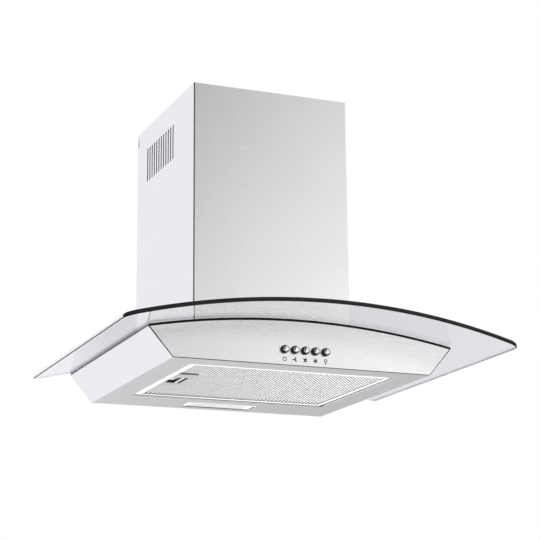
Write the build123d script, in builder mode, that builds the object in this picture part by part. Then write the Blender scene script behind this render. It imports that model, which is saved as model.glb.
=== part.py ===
"""Wall-mounted range hood: arched glass canopy, steel body and telescopic chimney.

Frame: X to the right, Y towards the wall (the wall is Y = 0), Z up from the
underside of the steel body.  All sizes are in millimetres.
"""
from build123d import *
import os
from math import asin, cos, radians, sin, sqrt

os.makedirs("parts", exist_ok=True)

# Glass canopy
GLASS_WIDTH = 600.0
GLASS_DEPTH = 506.0
GLASS_SIDE_DEPTH = 491.0
GLASS_THICK = 6.0
GLASS_CROWN = 68.5
ARCH_RADIUS = 1200.0
GLASS_FRONT_CORNER = 16.0
GLASS_REAR_CORNER = 10.0
GLASS_WALL_GAP = 2.0

# Steel body
BODY_DEPTH = 395.0
BODY_TOP_WIDTH = 473.0
BODY_FLARE = 36.0
SHEET = 1.0
GASKET = 2.5
GASKET_WIDTH = 8.0
GLASS_EASE = 0.25
RIM_FLANGE = 12.0
BEND = 1.5
HANG_SPACING = 240.0
HANG_HEIGHT = 40.0
HANG_HOLE = 9.0
SAFETY_SPACING = 300.0
SAFETY_HEIGHT = 14.0
SAFETY_HOLE = 6.0

# Air way through top plate and glass, and the screws that clamp the glass
AIRWAY_SIDE_LEDGE = 9.0
AIRWAY_END_LEDGE = 14.0
AIRWAY_CORNER = 14.0
CLAMP_ROW = 146.0
CLAMP_SCREW = 5.0
CLAMP_HEAD = 10.0
CLAMP_HOLE = 5.8
BUSH_SLEEVE = 12.0
BUSH_COLLAR = 20.0
BUSH_EASE = 0.1

# Chimney
CHIMNEY_TOP = 457.5
CHIMNEY_RETURN = 20.0
CHIMNEY_SEAT_GAP = 0.3
TELESCOPE_GAP = 0.5
INNER_TOP_STEP = 1.5
VENT_COUNT = 12
VENT_PITCH = 11.5
VENT_WIDTH = 5.0
VENT_HEIGHT = 56.0
VENT_CENTRE_Y = -115.5
VENT_CENTRE_Z = 391.0
NOTCH_WIDTH = 5.0
NOTCH_HEIGHT = 15.0
NOTCH_CENTRE_Z = 442.5
WALL_STRAP = 1.5
STRAP_HEIGHT = 24.0
STRAP_ARM = 26.0
STRAP_HOLE = 5.2
STRAP_HOLE_SPACING = 160.0
STRAP_SPACER = 14.0
STRAP_FIT = 0.2
LOWER_STRAP_Z = 318.0
UPPER_STRAP_Z = 437.0

# Blower housing
BLOWER_WIDTH = 230.0
BLOWER_DEPTH = 254.0
BLOWER_WALL_GAP = 8.0
BLOWER_COVER_GAP = 10.5
BLOWER_TOP = 286.0
BLOWER_FLANGE = 18.0
BLOWER_SEAL = 2.0
BLOWER_CORNER = 6.0
CLAMP_NUT = 8.0
CLAMP_NUT_HEIGHT = 4.0
CLAMP_HEAD_HEIGHT = 3.5
NUT_FIT = 0.05

# Scroll and fan wheel
FAN_RADIUS = 75.0
FAN_SIDE_GAP = 9.0
FAN_BLADES = 36
BLADE_INNER = 61.0
BLADE_THICK = 1.0
BLADE_SWEEP = 8.0
BLADE_BULGE = 2.0
FAN_Z = 186.0
SCROLL_FIRST = 86.0
SCROLL_STEP = 12.0
SCROLL_TONGUE = 14.0
SCROLL_WALL = 2.0
SCROLL_LIP = 3.0
SCROLL_FRONT_GAP = 4.0
INLET_RADIUS = 59.0

# Motor
SHAFT = 8.0
SHAFT_FIT = 0.03
STATOR_RADIUS = 42.0
STATOR_BORE = 23.0
STATOR_LENGTH = 28.0
MOTOR_WALL_GAP = 10.0
BRACKET_STAND = 14.0
BELL_LENGTH = 12.0
BELL_RADIUS = 33.0
BELL_WALL = 3.0
TIE_RADIUS = 38.0
TIE_BOLT = 4.0
BEARING_RADIUS = 9.5
BEARING_WIDTH = 6.0
AIR_GAP = 0.5
SPIDER_ARM = 10.0
SPIDER_REACH = 80.0
SPIDER_THICK = 2.0
HUB_RADIUS = 12.0
HUB_LENGTH = 20.0

# Duct collar and its non-return flaps
COLLAR_RADIUS = 75.0
COLLAR_WALL = 2.0
COLLAR_HEIGHT = 48.0
COLLAR_FLANGE = 86.0
COLLAR_BASE = 2.0
COLLAR_EDGE = 4.0
COLLAR_SCREW_RADIUS = 80.5
COLLAR_SCREW = 3.5
FLAP_PIN = 3.0
FLAP_HEIGHT = 20.0
FLAP_THICK = 1.5
FLAP_KNUCKLE = 3.4
FLAP_FIT = 0.08
FLAP_EDGE_GAP = 1.2
FLAP_LEDGE = 5.0
SEAT_FIT = 0.1
SEAT_WALL = 2.0
KNUCKLE_LENGTH = 28.0
KNUCKLE_GAP = 0.6

# Buttons and switch block
BUTTON_COUNT = 5
BUTTON_PITCH = 16.0
BUTTON_Z = 23.0
BUTTON_DIAMETER = 11.5
BUTTON_STAND = 6.5
BUTTON_GAP = 0.35
BUTTON_TRAVEL = 3.0
BUTTON_ROUND = 2.2
BUTTON_STEM = 5.0
BUTTON_TAIL = 2.0
STOP_GAP = 0.5
STEM_LENGTH = 12.0
STEM_FIT = 0.1
SWITCH_WIDTH = 92.0
SWITCH_HEIGHT = 22.0
SWITCH_DEPTH = 24.0

# Grease filter
FILTER_WIDTH = 320.0
FILTER_DEPTH = 265.0
FILTER_Y = -223.5
FILTER_HEIGHT = 9.0
FILTER_BORDER = 10.0
FILTER_GROOVE = 5.0
FILTER_SKIN = 1.0
FILTER_GAP = 1.2
FILTER_RECESS = 1.0
LIP_HEIGHT = 13.0
FACE_SHEET = 0.6
CORE_WAVES = 18
PACK_FIT = 0.2
TAB_SPACING = 150.0
TAB_WIDTH = 18.0
TAB_THICK = 1.2
TAB_REACH = 6.5
TAB_SIDE_GAP = 1.0
TAB_REST = 0.2

# Filter latch
LATCH_WIDTH = 31.0
LATCH_LENGTH = 96.0
LATCH_Y = -227.0
LATCH_SKIN = 1.2
LATCH_PROUD = 0.4
RECESS_WIDTH = 24.0
RECESS_LENGTH = 44.0
TONGUE_WIDTH = 22.0
TONGUE_THICK = 1.6
TONGUE_LEVEL = 4.0
TONGUE_SHY = 0.3
TONGUE_SIDE_GAP = 1.0
TONGUE_SLOT_GAP = 0.5
LATCH_THROW = 2.5
GRIP_THICK = 3.5
GRIP_TRAVEL = 5.0
SLIDE_FIT = 0.2

# Lamp
LAMP_WIDTH = 117.0
LAMP_DEPTH = 38.0
LAMP_Y = -40.0
LAMP_PROUD = 1.0
LAMP_FIT = 0.3
LAMP_CASE_HEIGHT = 14.0
LAMP_CASE_WALL = 1.5
LED_COUNT = 6
LED_SIZE = 5.0

# Electrics
CONTROL_DEPTH = 72.0
CONTROL_HEIGHT = 90.0
CONTROL_THICK = 38.0
CONTROL_WALL = 2.0
CONTROL_Z = 190.0
CAPACITOR_RADIUS = 14.0
CAPACITOR_LENGTH = 54.0
CAPACITOR_FOOT = 2.0
CAPACITOR_Z = 258.0
DRIVER_WIDTH = 84.0
DRIVER_DEPTH = 42.0
DRIVER_HEIGHT = 24.0
DRIVER_EDGE = 20.5
DRIVER_Y = -54.0
GLAND_HOLE = 16.0
GLAND_SIDE_EDGE = 27.0
GLAND_BACK_EDGE = 28.0

# Worked out from the sizes above
ARCH_CENTRE_Z = GLASS_CROWN - ARCH_RADIUS
GLASS_TOP_R = ARCH_RADIUS + GLASS_THICK
RIM_R = ARCH_RADIUS - GASKET
PLATE_UNDER_R = RIM_R - SHEET
SEAT_R = GLASS_TOP_R + BLOWER_SEAL
BODY_BOTTOM_WIDTH = BODY_TOP_WIDTH - 2 * BODY_FLARE
BODY_BACK = -SHEET
BODY_FRONT = -BODY_DEPTH + SHEET
BLOWER_BACK = -BLOWER_WALL_GAP
BLOWER_FRONT = BLOWER_BACK - BLOWER_DEPTH
BLOWER_Y = BLOWER_BACK - BLOWER_DEPTH / 2
CLAMP_X = BLOWER_WIDTH / 2 - BLOWER_FLANGE / 2
AIRWAY_WIDTH = BLOWER_WIDTH - 2 * (BLOWER_FLANGE + AIRWAY_SIDE_LEDGE)
AIRWAY_DEPTH = BLOWER_DEPTH - 2 * (BLOWER_FLANGE + AIRWAY_END_LEDGE)
COVER_ROOM = BLOWER_COVER_GAP + 2 * SHEET + TELESCOPE_GAP
CHIMNEY_WIDTH = BLOWER_WIDTH + 2 * COVER_ROOM
CHIMNEY_DEPTH = BLOWER_WALL_GAP + BLOWER_DEPTH + COVER_ROOM
OPENING_WIDTH = FILTER_WIDTH + 2 * FILTER_GAP
OPENING_DEPTH = FILTER_DEPTH + 2 * FILTER_GAP
SCROLL_SECOND = SCROLL_FIRST + SCROLL_STEP
SCROLL_THIRD = SCROLL_SECOND + SCROLL_STEP
SCROLL_FAR = SCROLL_STEP / 2 + SCROLL_THIRD
FAN_Y = BLOWER_FRONT + SHEET + SCROLL_FRONT_GAP + SCROLL_WALL + SCROLL_SECOND - SCROLL_STEP / 2
MOTOR_REAR_X = SHEET + MOTOR_WALL_GAP - BLOWER_WIDTH / 2
STATOR_X = MOTOR_REAR_X + BELL_LENGTH
FRONT_BELL_X = STATOR_X + STATOR_LENGTH
SCROLL_HALF_WIDTH = -FRONT_BELL_X - BRACKET_STAND
FAN_HALF_WIDTH = SCROLL_HALF_WIDTH - FAN_SIDE_GAP
OUTLET_TOP = BLOWER_TOP - SHEET - FAN_Z
OUTLET_DEPTH = SCROLL_FAR - SCROLL_TONGUE
OUTLET_WIDTH = 2 * (SCROLL_HALF_WIDTH - SCROLL_WALL)
OUTLET_Y = FAN_Y + (SCROLL_FAR + SCROLL_TONGUE) / 2
COLLAR_Y = BLOWER_BACK - COLLAR_EDGE - COLLAR_FLANGE
FLAP_Z = BLOWER_TOP + FLAP_HEIGHT
BUTTON_FRONT = BODY_DEPTH + BUTTON_STAND
FAN_PLANE = Plane(origin=(0, FAN_Y, FAN_Z), x_dir=(0, 1, 0), z_dir=(1, 0, 0))
DRIVER_X = DRIVER_EDGE + DRIVER_WIDTH / 2 - BODY_BOTTOM_WIDTH / 2
GLAND_X = BLOWER_WIDTH / 2 - GLAND_SIDE_EDGE
GLAND_Y = BLOWER_BACK - GLAND_BACK_EDGE


def arch_z(x, radius):
    """Height at x of a surface of this radius about the glass's own axis."""
    return ARCH_CENTRE_Z + sqrt(radius**2 - x**2)


def arch_plane(x, y, radius):
    """Plane square to the arch, on the spoke that leaves the glass's underside at x."""
    lean = asin(x / ARCH_RADIUS)
    return Plane(
        origin=(radius * sin(lean), y, ARCH_CENTRE_Z + radius * cos(lean)),
        x_dir=(cos(lean), 0, -sin(lean)),
        z_dir=(sin(lean), 0, cos(lean)),
    )


def arch_sheet(inner_radius, outer_radius, half_width, front, back):
    """Sheet bent to the arch of the glass, from one Y to another."""
    with BuildPart() as sheet:
        with BuildSketch(Plane.XZ.offset(-back)):
            with BuildLine():
                upper = ThreePointArc(
                    (-half_width, arch_z(half_width, outer_radius)),
                    (0, arch_z(0, outer_radius)),
                    (half_width, arch_z(half_width, outer_radius)),
                )
                lower = ThreePointArc(
                    (-half_width, arch_z(half_width, inner_radius)),
                    (0, arch_z(0, inner_radius)),
                    (half_width, arch_z(half_width, inner_radius)),
                )
                Line(upper @ 0, lower @ 0)
                Line(upper @ 1, lower @ 1)
            make_face()
        extrude(amount=back - front)
    return sheet.part


def trapezium(radius):
    """Front-view outline of the body with a top edge bent to the arch."""
    with BuildSketch() as outline:
        with BuildLine():
            top = ThreePointArc(
                (-BODY_TOP_WIDTH / 2, arch_z(BODY_TOP_WIDTH / 2, radius)),
                (0, arch_z(0, radius)),
                (BODY_TOP_WIDTH / 2, arch_z(BODY_TOP_WIDTH / 2, radius)),
            )
            Polyline(top @ 1, (BODY_BOTTOM_WIDTH / 2, 0), (-BODY_BOTTOM_WIDTH / 2, 0), top @ 0)
        make_face()
    return outline.sketch


def keep(piece, name):
    """Label a finished piece and write its STEP file."""
    piece.label = name
    export_step(piece, f"parts/{name}.step")


CLAMP_PLACES = [(x, BLOWER_Y + y) for x in (-CLAMP_X, CLAMP_X) for y in (-CLAMP_ROW / 2, CLAMP_ROW / 2)]

# Levels of the filter, which sits a little above the underside
filter_top = FILTER_RECESS + FILTER_HEIGHT
filter_mid = FILTER_RECESS + FILTER_HEIGHT / 2
tongue_low = FILTER_RECESS + TONGUE_LEVEL
tongue_mid = tongue_low + TONGUE_THICK / 2

# Underside and sloped sides, folded from one sheet
flange_x = BODY_TOP_WIDTH / 2 - RIM_FLANGE
rim_z = arch_z(BODY_TOP_WIDTH / 2, PLATE_UNDER_R)
with BuildPart() as canopy_shell:
    with BuildSketch(Plane.XZ.offset(-BODY_BACK)):
        with BuildLine():
            Polyline(
                (-flange_x, arch_z(flange_x, PLATE_UNDER_R)),
                (-BODY_TOP_WIDTH / 2, rim_z),
                (-BODY_BOTTOM_WIDTH / 2, 0),
                (BODY_BOTTOM_WIDTH / 2, 0),
                (BODY_TOP_WIDTH / 2, rim_z),
                (flange_x, arch_z(flange_x, PLATE_UNDER_R)),
            )
            offset(amount=SHEET, side=Side.LEFT, kind=Kind.INTERSECTION)
        make_face()
    extrude(amount=BODY_BACK - BODY_FRONT)
    folds = [e for e in canopy_shell.edges().filter_by(Axis.Y) if abs(e.center().Z) < SHEET / 10]
    fillet(folds, BEND)
    with BuildSketch():
        with Locations((0, FILTER_Y)):
            Rectangle(OPENING_WIDTH + 2 * SHEET, OPENING_DEPTH + 2 * SHEET)
            Rectangle(OPENING_WIDTH, OPENING_DEPTH, mode=Mode.SUBTRACT)
    extrude(amount=LIP_HEIGHT)
    with BuildSketch():
        with Locations((0, FILTER_Y)):
            Rectangle(OPENING_WIDTH, OPENING_DEPTH)
        with Locations((0, LAMP_Y)):
            Rectangle(LAMP_WIDTH + 2 * LAMP_FIT, LAMP_DEPTH + 2 * LAMP_FIT)
    extrude(amount=SHEET, mode=Mode.SUBTRACT)
    # Two notches carry the filter's tabs, a slot takes the latch tongue
    tab_floor = filter_mid - TAB_THICK / 2 - TAB_REST
    lip_x = OPENING_WIDTH / 2 + SHEET / 2
    with Locations(
        (lip_x, FILTER_Y - TAB_SPACING / 2, tab_floor), (lip_x, FILTER_Y + TAB_SPACING / 2, tab_floor)
    ):
        Box(
            2 * SHEET,
            TAB_WIDTH + 2 * TAB_SIDE_GAP,
            LIP_HEIGHT,
            align=(Align.CENTER, Align.CENTER, Align.MIN),
            mode=Mode.SUBTRACT,
        )
    with Locations((-lip_x, LATCH_Y, tongue_mid)):
        Box(
            2 * SHEET,
            TONGUE_WIDTH + 2 * TONGUE_SIDE_GAP,
            TONGUE_THICK + 2 * TONGUE_SLOT_GAP,
            mode=Mode.SUBTRACT,
        )
keep(canopy_shell.part, "canopy_shell")

# Front fascia with button holes and a flange under the top plate
with BuildPart() as front_fascia:
    with BuildSketch(Plane.XZ.offset(-BODY_FRONT)):
        add(trapezium(RIM_R))
        with Locations((0, BUTTON_Z)):
            with GridLocations(BUTTON_PITCH, 1, BUTTON_COUNT, 1):
                Circle(BUTTON_DIAMETER / 2 + BUTTON_GAP, mode=Mode.SUBTRACT)
    extrude(amount=SHEET)
    add(arch_sheet(PLATE_UNDER_R - SHEET, PLATE_UNDER_R, flange_x - SHEET, BODY_FRONT, BODY_FRONT + RIM_FLANGE))
keep(front_fascia.part, "front_fascia")

# Back panel that lies on the wall
with BuildPart() as back_panel:
    with BuildSketch(Plane.XZ):
        add(trapezium(RIM_R))
        with Locations((-HANG_SPACING / 2, HANG_HEIGHT), (HANG_SPACING / 2, HANG_HEIGHT)):
            Circle(HANG_HOLE / 2, mode=Mode.SUBTRACT)
        with Locations((-SAFETY_SPACING / 2, SAFETY_HEIGHT), (SAFETY_SPACING / 2, SAFETY_HEIGHT)):
            Circle(SAFETY_HOLE / 2, mode=Mode.SUBTRACT)
    extrude(amount=SHEET)
    add(arch_sheet(PLATE_UNDER_R - SHEET, PLATE_UNDER_R, flange_x - SHEET, BODY_BACK - RIM_FLANGE, BODY_BACK))
keep(back_panel.part, "back_panel")

# Arched plate that closes the body below the glass
with BuildPart() as canopy_top_plate:
    add(arch_sheet(PLATE_UNDER_R, RIM_R, BODY_TOP_WIDTH / 2, BODY_FRONT, BODY_BACK))
    with BuildSketch():
        with Locations((0, BLOWER_Y)):
            RectangleRounded(AIRWAY_WIDTH, AIRWAY_DEPTH, AIRWAY_CORNER)
    extrude(amount=2 * GLASS_CROWN, mode=Mode.SUBTRACT)
    for x, y in CLAMP_PLACES:
        with BuildSketch(arch_plane(x, y, PLATE_UNDER_R)):
            Circle(CLAMP_HOLE / 2)
        extrude(amount=2 * SHEET, both=True, mode=Mode.SUBTRACT)
keep(canopy_top_plate.part, "canopy_top_plate")

# Seal between the body's rim and the glass
with BuildPart() as glass_gasket:
    add(arch_sheet(RIM_R, ARCH_RADIUS - GLASS_EASE, BODY_TOP_WIDTH / 2, -BODY_DEPTH, -GLASS_WALL_GAP))
    with BuildSketch():
        with Locations((0, -(BODY_DEPTH + GLASS_WALL_GAP) / 2)):
            Rectangle(
                BODY_TOP_WIDTH - 2 * GASKET_WIDTH, BODY_DEPTH - GLASS_WALL_GAP - 2 * GASKET_WIDTH
            )
    extrude(amount=2 * GLASS_CROWN, mode=Mode.SUBTRACT)
keep(glass_gasket.part, "glass_gasket")

# Glass, bowed at the front and arched across its width
with BuildPart() as glass_canopy:
    add(arch_sheet(ARCH_RADIUS, GLASS_TOP_R, GLASS_WIDTH * 0.6, -GLASS_DEPTH * 1.1, GLASS_THICK))
    with BuildSketch():
        with BuildLine():
            bow = ThreePointArc(
                (-GLASS_WIDTH / 2, -GLASS_SIDE_DEPTH), (0, -GLASS_DEPTH), (GLASS_WIDTH / 2, -GLASS_SIDE_DEPTH)
            )
            Polyline(
                bow @ 1,
                (GLASS_WIDTH / 2, -GLASS_WALL_GAP),
                (-GLASS_WIDTH / 2, -GLASS_WALL_GAP),
                bow @ 0,
            )
        make_face()
        corners = vertices().sort_by(Axis.Y)
        fillet(corners[:2], GLASS_FRONT_CORNER)
        corners = vertices().sort_by(Axis.Y)
        fillet(corners[-2:], GLASS_REAR_CORNER)
    extrude(amount=2 * GLASS_CROWN, mode=Mode.INTERSECT)
    with BuildSketch():
        with Locations((0, BLOWER_Y)):
            RectangleRounded(AIRWAY_WIDTH, AIRWAY_DEPTH, AIRWAY_CORNER)
    extrude(amount=2 * GLASS_CROWN, mode=Mode.SUBTRACT)
    for x, y in CLAMP_PLACES:
        with BuildSketch(arch_plane(x, y, ARCH_RADIUS)):
            Circle(BUSH_SLEEVE / 2 + BUSH_EASE)
        extrude(amount=2 * GLASS_THICK, both=True, mode=Mode.SUBTRACT)
keep(glass_canopy.part, "glass_canopy")

# Rubber bushes that keep the screws off the glass
with BuildPart() as glass_bushes:
    for x, y in CLAMP_PLACES:
        with BuildSketch(arch_plane(x, y, RIM_R)):
            Circle(BUSH_COLLAR / 2)
        extrude(amount=GASKET - BUSH_EASE)
        with BuildSketch(arch_plane(x, y, RIM_R)):
            Circle(BUSH_SLEEVE / 2)
        extrude(amount=GASKET + GLASS_THICK - BUSH_EASE)
        with BuildSketch(arch_plane(x, y, RIM_R)):
            Circle(CLAMP_HOLE / 2)
        extrude(amount=2 * (GASKET + GLASS_THICK), mode=Mode.SUBTRACT)
keep(glass_bushes.part, "glass_bushes")

# Foam seal between the glass and the blower housing
with BuildPart() as blower_seal:
    add(arch_sheet(GLASS_TOP_R + GLASS_EASE, SEAT_R, BLOWER_WIDTH / 2, BLOWER_FRONT, BLOWER_BACK))
    with BuildSketch():
        with Locations((0, BLOWER_Y)):
            Rectangle(BLOWER_WIDTH - 2 * BLOWER_FLANGE, BLOWER_DEPTH - 2 * BLOWER_FLANGE)
    extrude(amount=2 * GLASS_CROWN, mode=Mode.SUBTRACT)
    for x, y in CLAMP_PLACES:
        with BuildSketch(arch_plane(x, y, GLASS_TOP_R)):
            Circle(CLAMP_HOLE / 2)
        extrude(amount=2 * BLOWER_SEAL, both=True, mode=Mode.SUBTRACT)
keep(blower_seal.part, "blower_seal")

# Blower housing: four walls with a foot flange that follows the glass
with BuildPart() as foot_flange:
    add(arch_sheet(SEAT_R, SEAT_R + SHEET, BLOWER_WIDTH / 2, BLOWER_FRONT, BLOWER_BACK))
    with BuildSketch():
        with Locations((0, BLOWER_Y)):
            RectangleRounded(BLOWER_WIDTH, BLOWER_DEPTH, BLOWER_CORNER)
            Rectangle(BLOWER_WIDTH - 2 * BLOWER_FLANGE, BLOWER_DEPTH - 2 * BLOWER_FLANGE, mode=Mode.SUBTRACT)
    extrude(amount=2 * GLASS_CROWN, mode=Mode.INTERSECT)

with BuildPart() as blower_housing:
    with BuildSketch():
        with Locations((0, BLOWER_Y)):
            RectangleRounded(BLOWER_WIDTH, BLOWER_DEPTH, BLOWER_CORNER)
            RectangleRounded(
                BLOWER_WIDTH - 2 * SHEET, BLOWER_DEPTH - 2 * SHEET, BLOWER_CORNER - SHEET, mode=Mode.SUBTRACT
            )
    extrude(amount=BLOWER_TOP - SHEET)
    with BuildSketch(Plane.XY.offset(BLOWER_TOP - 2 * SHEET)):
        with Locations((0, BLOWER_Y)):
            RectangleRounded(BLOWER_WIDTH, BLOWER_DEPTH, BLOWER_CORNER)
            Rectangle(BLOWER_WIDTH - 2 * RIM_FLANGE, BLOWER_DEPTH - 2 * RIM_FLANGE, mode=Mode.SUBTRACT)
    extrude(amount=SHEET)
    add(arch_sheet(SEAT_R - GLASS_WIDTH, SEAT_R, GLASS_WIDTH / 2, -GLASS_DEPTH, 0), mode=Mode.SUBTRACT)
    add(foot_flange.part)
    for x, y in CLAMP_PLACES:
        with BuildSketch(arch_plane(x, y, SEAT_R)):
            Circle(CLAMP_HOLE / 2)
        extrude(amount=2 * SHEET, both=True, mode=Mode.SUBTRACT)
keep(blower_housing.part, "blower_housing")

# Screws and nuts that clamp plate, glass and housing together
with BuildPart() as clamp_screws:
    shank = SEAT_R + SHEET + 2 * CLAMP_NUT_HEIGHT - PLATE_UNDER_R
    for x, y in CLAMP_PLACES:
        with BuildSketch(arch_plane(x, y, PLATE_UNDER_R - BUSH_EASE)):
            Circle(CLAMP_HEAD / 2)
        extrude(amount=-CLAMP_HEAD_HEIGHT)
        with BuildSketch(arch_plane(x, y, PLATE_UNDER_R - BUSH_EASE)):
            Circle(CLAMP_SCREW / 2)
        extrude(amount=shank)
keep(clamp_screws.part, "clamp_screws")

with BuildPart() as clamp_nuts:
    for x, y in CLAMP_PLACES:
        with BuildSketch(arch_plane(x, y, SEAT_R + SHEET)):
            RegularPolygon(CLAMP_NUT / 2, 6, major_radius=False)
            Circle(CLAMP_SCREW / 2 + NUT_FIT, mode=Mode.SUBTRACT)
        extrude(amount=CLAMP_NUT_HEIGHT)
keep(clamp_nuts.part, "clamp_nuts")

# Lid of the blower housing with the scroll's outlet, collar screws and cable gland
with BuildPart() as blower_top_plate:
    with BuildSketch(Plane.XY.offset(BLOWER_TOP - SHEET)):
        with Locations((0, BLOWER_Y)):
            RectangleRounded(BLOWER_WIDTH, BLOWER_DEPTH, BLOWER_CORNER)
        with Locations((0, OUTLET_Y)):
            Rectangle(OUTLET_WIDTH, OUTLET_DEPTH, mode=Mode.SUBTRACT)
        with Locations((0, COLLAR_Y)):
            with PolarLocations(COLLAR_SCREW_RADIUS, 4, start_angle=45):
                Circle(COLLAR_SCREW / 2 + NUT_FIT, mode=Mode.SUBTRACT)
        with Locations((GLAND_X, GLAND_Y)):
            Circle(GLAND_HOLE / 2, mode=Mode.SUBTRACT)
    extrude(amount=SHEET)
keep(blower_top_plate.part, "blower_top_plate")


def scroll_face(top):
    """Volute outline of three growing quarter arcs, square to the fan axis."""
    half = SCROLL_STEP / 2
    with BuildSketch() as outline:
        with BuildLine():
            first = CenterArc((-half, -half), SCROLL_FIRST, 90, 90)
            CenterArc((half, -half), SCROLL_SECOND, 180, 90)
            last = CenterArc((half, half), SCROLL_THIRD, 270, 90)
            Polyline(
                last @ 1,
                (SCROLL_FAR, top),
                (SCROLL_TONGUE, top),
                (SCROLL_TONGUE, SCROLL_FIRST - half),
                first @ 0,
            )
        make_face()
    return outline.sketch


# Scroll housing, parted at the middle of the fan wheel
for side_name, side in (("right", 1), ("left", -1)):
    with BuildPart() as scroll:
        with BuildSketch(FAN_PLANE):
            add(scroll_face(OUTLET_TOP - SCROLL_WALL))
            offset(amount=SCROLL_WALL, kind=Kind.INTERSECTION)
        extrude(amount=side * SCROLL_HALF_WIDTH)
        with BuildSketch(FAN_PLANE):
            add(scroll_face(OUTLET_TOP + SCROLL_WALL))
        extrude(amount=side * (SCROLL_HALF_WIDTH - SCROLL_WALL), mode=Mode.SUBTRACT)
        with BuildSketch(FAN_PLANE.offset(side * SCROLL_HALF_WIDTH)):
            Circle(INLET_RADIUS + SCROLL_WALL)
        extrude(amount=-side * (SCROLL_WALL + SCROLL_LIP))
        with BuildSketch(FAN_PLANE.offset(side * SCROLL_HALF_WIDTH)):
            Circle(INLET_RADIUS)
        extrude(amount=-side * (SCROLL_WALL + SCROLL_LIP), mode=Mode.SUBTRACT)
    keep(scroll.part, f"scroll_{side_name}")

# Squirrel-cage wheel with forward-curved blades on both sides of one disc
with BuildSketch() as blade:
    tip = FAN_RADIUS - BLADE_THICK
    with BuildLine():
        ThreePointArc(
            (BLADE_INNER, 0),
            ((BLADE_INNER + tip) / 2, BLADE_BULGE),
            (tip * cos(radians(BLADE_SWEEP)), tip * sin(radians(BLADE_SWEEP))),
        )
        offset(amount=BLADE_THICK, side=Side.LEFT)
    make_face()

with BuildPart() as fan_wheel:
    with BuildSketch(FAN_PLANE.offset(-FAN_HALF_WIDTH)):
        with PolarLocations(0, FAN_BLADES):
            add(blade.sketch)
    extrude(amount=2 * FAN_HALF_WIDTH)
    with BuildSketch(FAN_PLANE.offset(-BLADE_THICK)):
        Circle(FAN_RADIUS)
    extrude(amount=2 * BLADE_THICK)
    for ring_x in (-FAN_HALF_WIDTH, FAN_HALF_WIDTH - 2 * BLADE_THICK):
        with BuildSketch(FAN_PLANE.offset(ring_x)):
            Circle(FAN_RADIUS)
            Circle(BLADE_INNER + BLADE_THICK, mode=Mode.SUBTRACT)
        extrude(amount=2 * BLADE_THICK)
    with BuildSketch(FAN_PLANE.offset(-HUB_LENGTH)):
        Circle(HUB_RADIUS)
    extrude(amount=HUB_LENGTH)
    with BuildSketch(FAN_PLANE.offset(-HUB_LENGTH)):
        Circle(SHAFT / 2)
    extrude(amount=2 * HUB_LENGTH, mode=Mode.SUBTRACT)
keep(fan_wheel.part, "fan_wheel")

with BuildPart() as wheel_nut:
    with BuildSketch(FAN_PLANE.offset(BLADE_THICK)):
        RegularPolygon(SHAFT, 6)
        Circle(SHAFT / 2, mode=Mode.SUBTRACT)
    extrude(amount=SHAFT)
keep(wheel_nut.part, "wheel_nut")

with BuildPart() as motor_shaft:
    with BuildSketch(FAN_PLANE.offset(MOTOR_REAR_X + BLADE_THICK)):
        Circle(SHAFT / 2)
    extrude(amount=-MOTOR_REAR_X + 1.5 * SHAFT)
    chamfer(motor_shaft.edges().filter_by(GeomType.CIRCLE), BLADE_THICK / 2)
keep(motor_shaft.part, "motor_shaft")

# Motor: stator, rotor, two end bells and two bearings
with BuildPart() as motor_stator:
    with BuildSketch(FAN_PLANE.offset(STATOR_X)):
        Circle(STATOR_RADIUS)
        Circle(STATOR_BORE, mode=Mode.SUBTRACT)
        with PolarLocations(TIE_RADIUS, 3, start_angle=90):
            Circle(TIE_BOLT / 2 + NUT_FIT, mode=Mode.SUBTRACT)
    extrude(amount=STATOR_LENGTH)
keep(motor_stator.part, "motor_stator")

with BuildPart() as motor_rotor:
    with BuildSketch(FAN_PLANE.offset(STATOR_X)):
        Circle(STATOR_BORE - AIR_GAP)
        Circle(SHAFT / 2, mode=Mode.SUBTRACT)
    extrude(amount=STATOR_LENGTH)
keep(motor_rotor.part, "motor_rotor")

for bell_name, wall_x, inward in (("rear", MOTOR_REAR_X, 1), ("front", FRONT_BELL_X + BELL_LENGTH, -1)):
    with BuildPart() as end_bell:
        with BuildSketch(FAN_PLANE.offset(wall_x)):
            Circle(BELL_RADIUS)
        extrude(amount=inward * BELL_LENGTH)
        with BuildSketch(FAN_PLANE.offset(wall_x + inward * BELL_WALL)):
            Circle(BELL_RADIUS - BELL_WALL)
            Circle(BEARING_RADIUS + BELL_WALL, mode=Mode.SUBTRACT)
        extrude(amount=inward * BELL_LENGTH, mode=Mode.SUBTRACT)
        with BuildSketch(FAN_PLANE.offset(wall_x + inward * BELL_WALL)):
            Circle(BEARING_RADIUS)
        extrude(amount=inward * BELL_LENGTH, mode=Mode.SUBTRACT)
        with BuildSketch(FAN_PLANE.offset(wall_x + inward * (BELL_WALL + BEARING_WIDTH))):
            Circle(BEARING_RADIUS + BELL_WALL)
        extrude(amount=inward * BELL_LENGTH, mode=Mode.SUBTRACT)
        with BuildSketch(FAN_PLANE.offset(wall_x)):
            Circle(SHAFT / 2 + BELL_WALL / 3)
            with PolarLocations((BELL_RADIUS + BEARING_RADIUS) / 2, 6):
                Circle(BELL_WALL)
        extrude(amount=inward * BELL_WALL, mode=Mode.SUBTRACT)
    keep(end_bell.part, f"motor_bell_{bell_name}")

with BuildPart() as motor_bearings:
    for bearing_x in (MOTOR_REAR_X + BELL_WALL, FRONT_BELL_X + BELL_LENGTH - BELL_WALL - BEARING_WIDTH):
        with BuildSketch(FAN_PLANE.offset(bearing_x)):
            Circle(BEARING_RADIUS)
            Circle(SHAFT / 2 + SHAFT_FIT, mode=Mode.SUBTRACT)
        extrude(amount=BEARING_WIDTH)
keep(motor_bearings.part, "motor_bearings")

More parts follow.
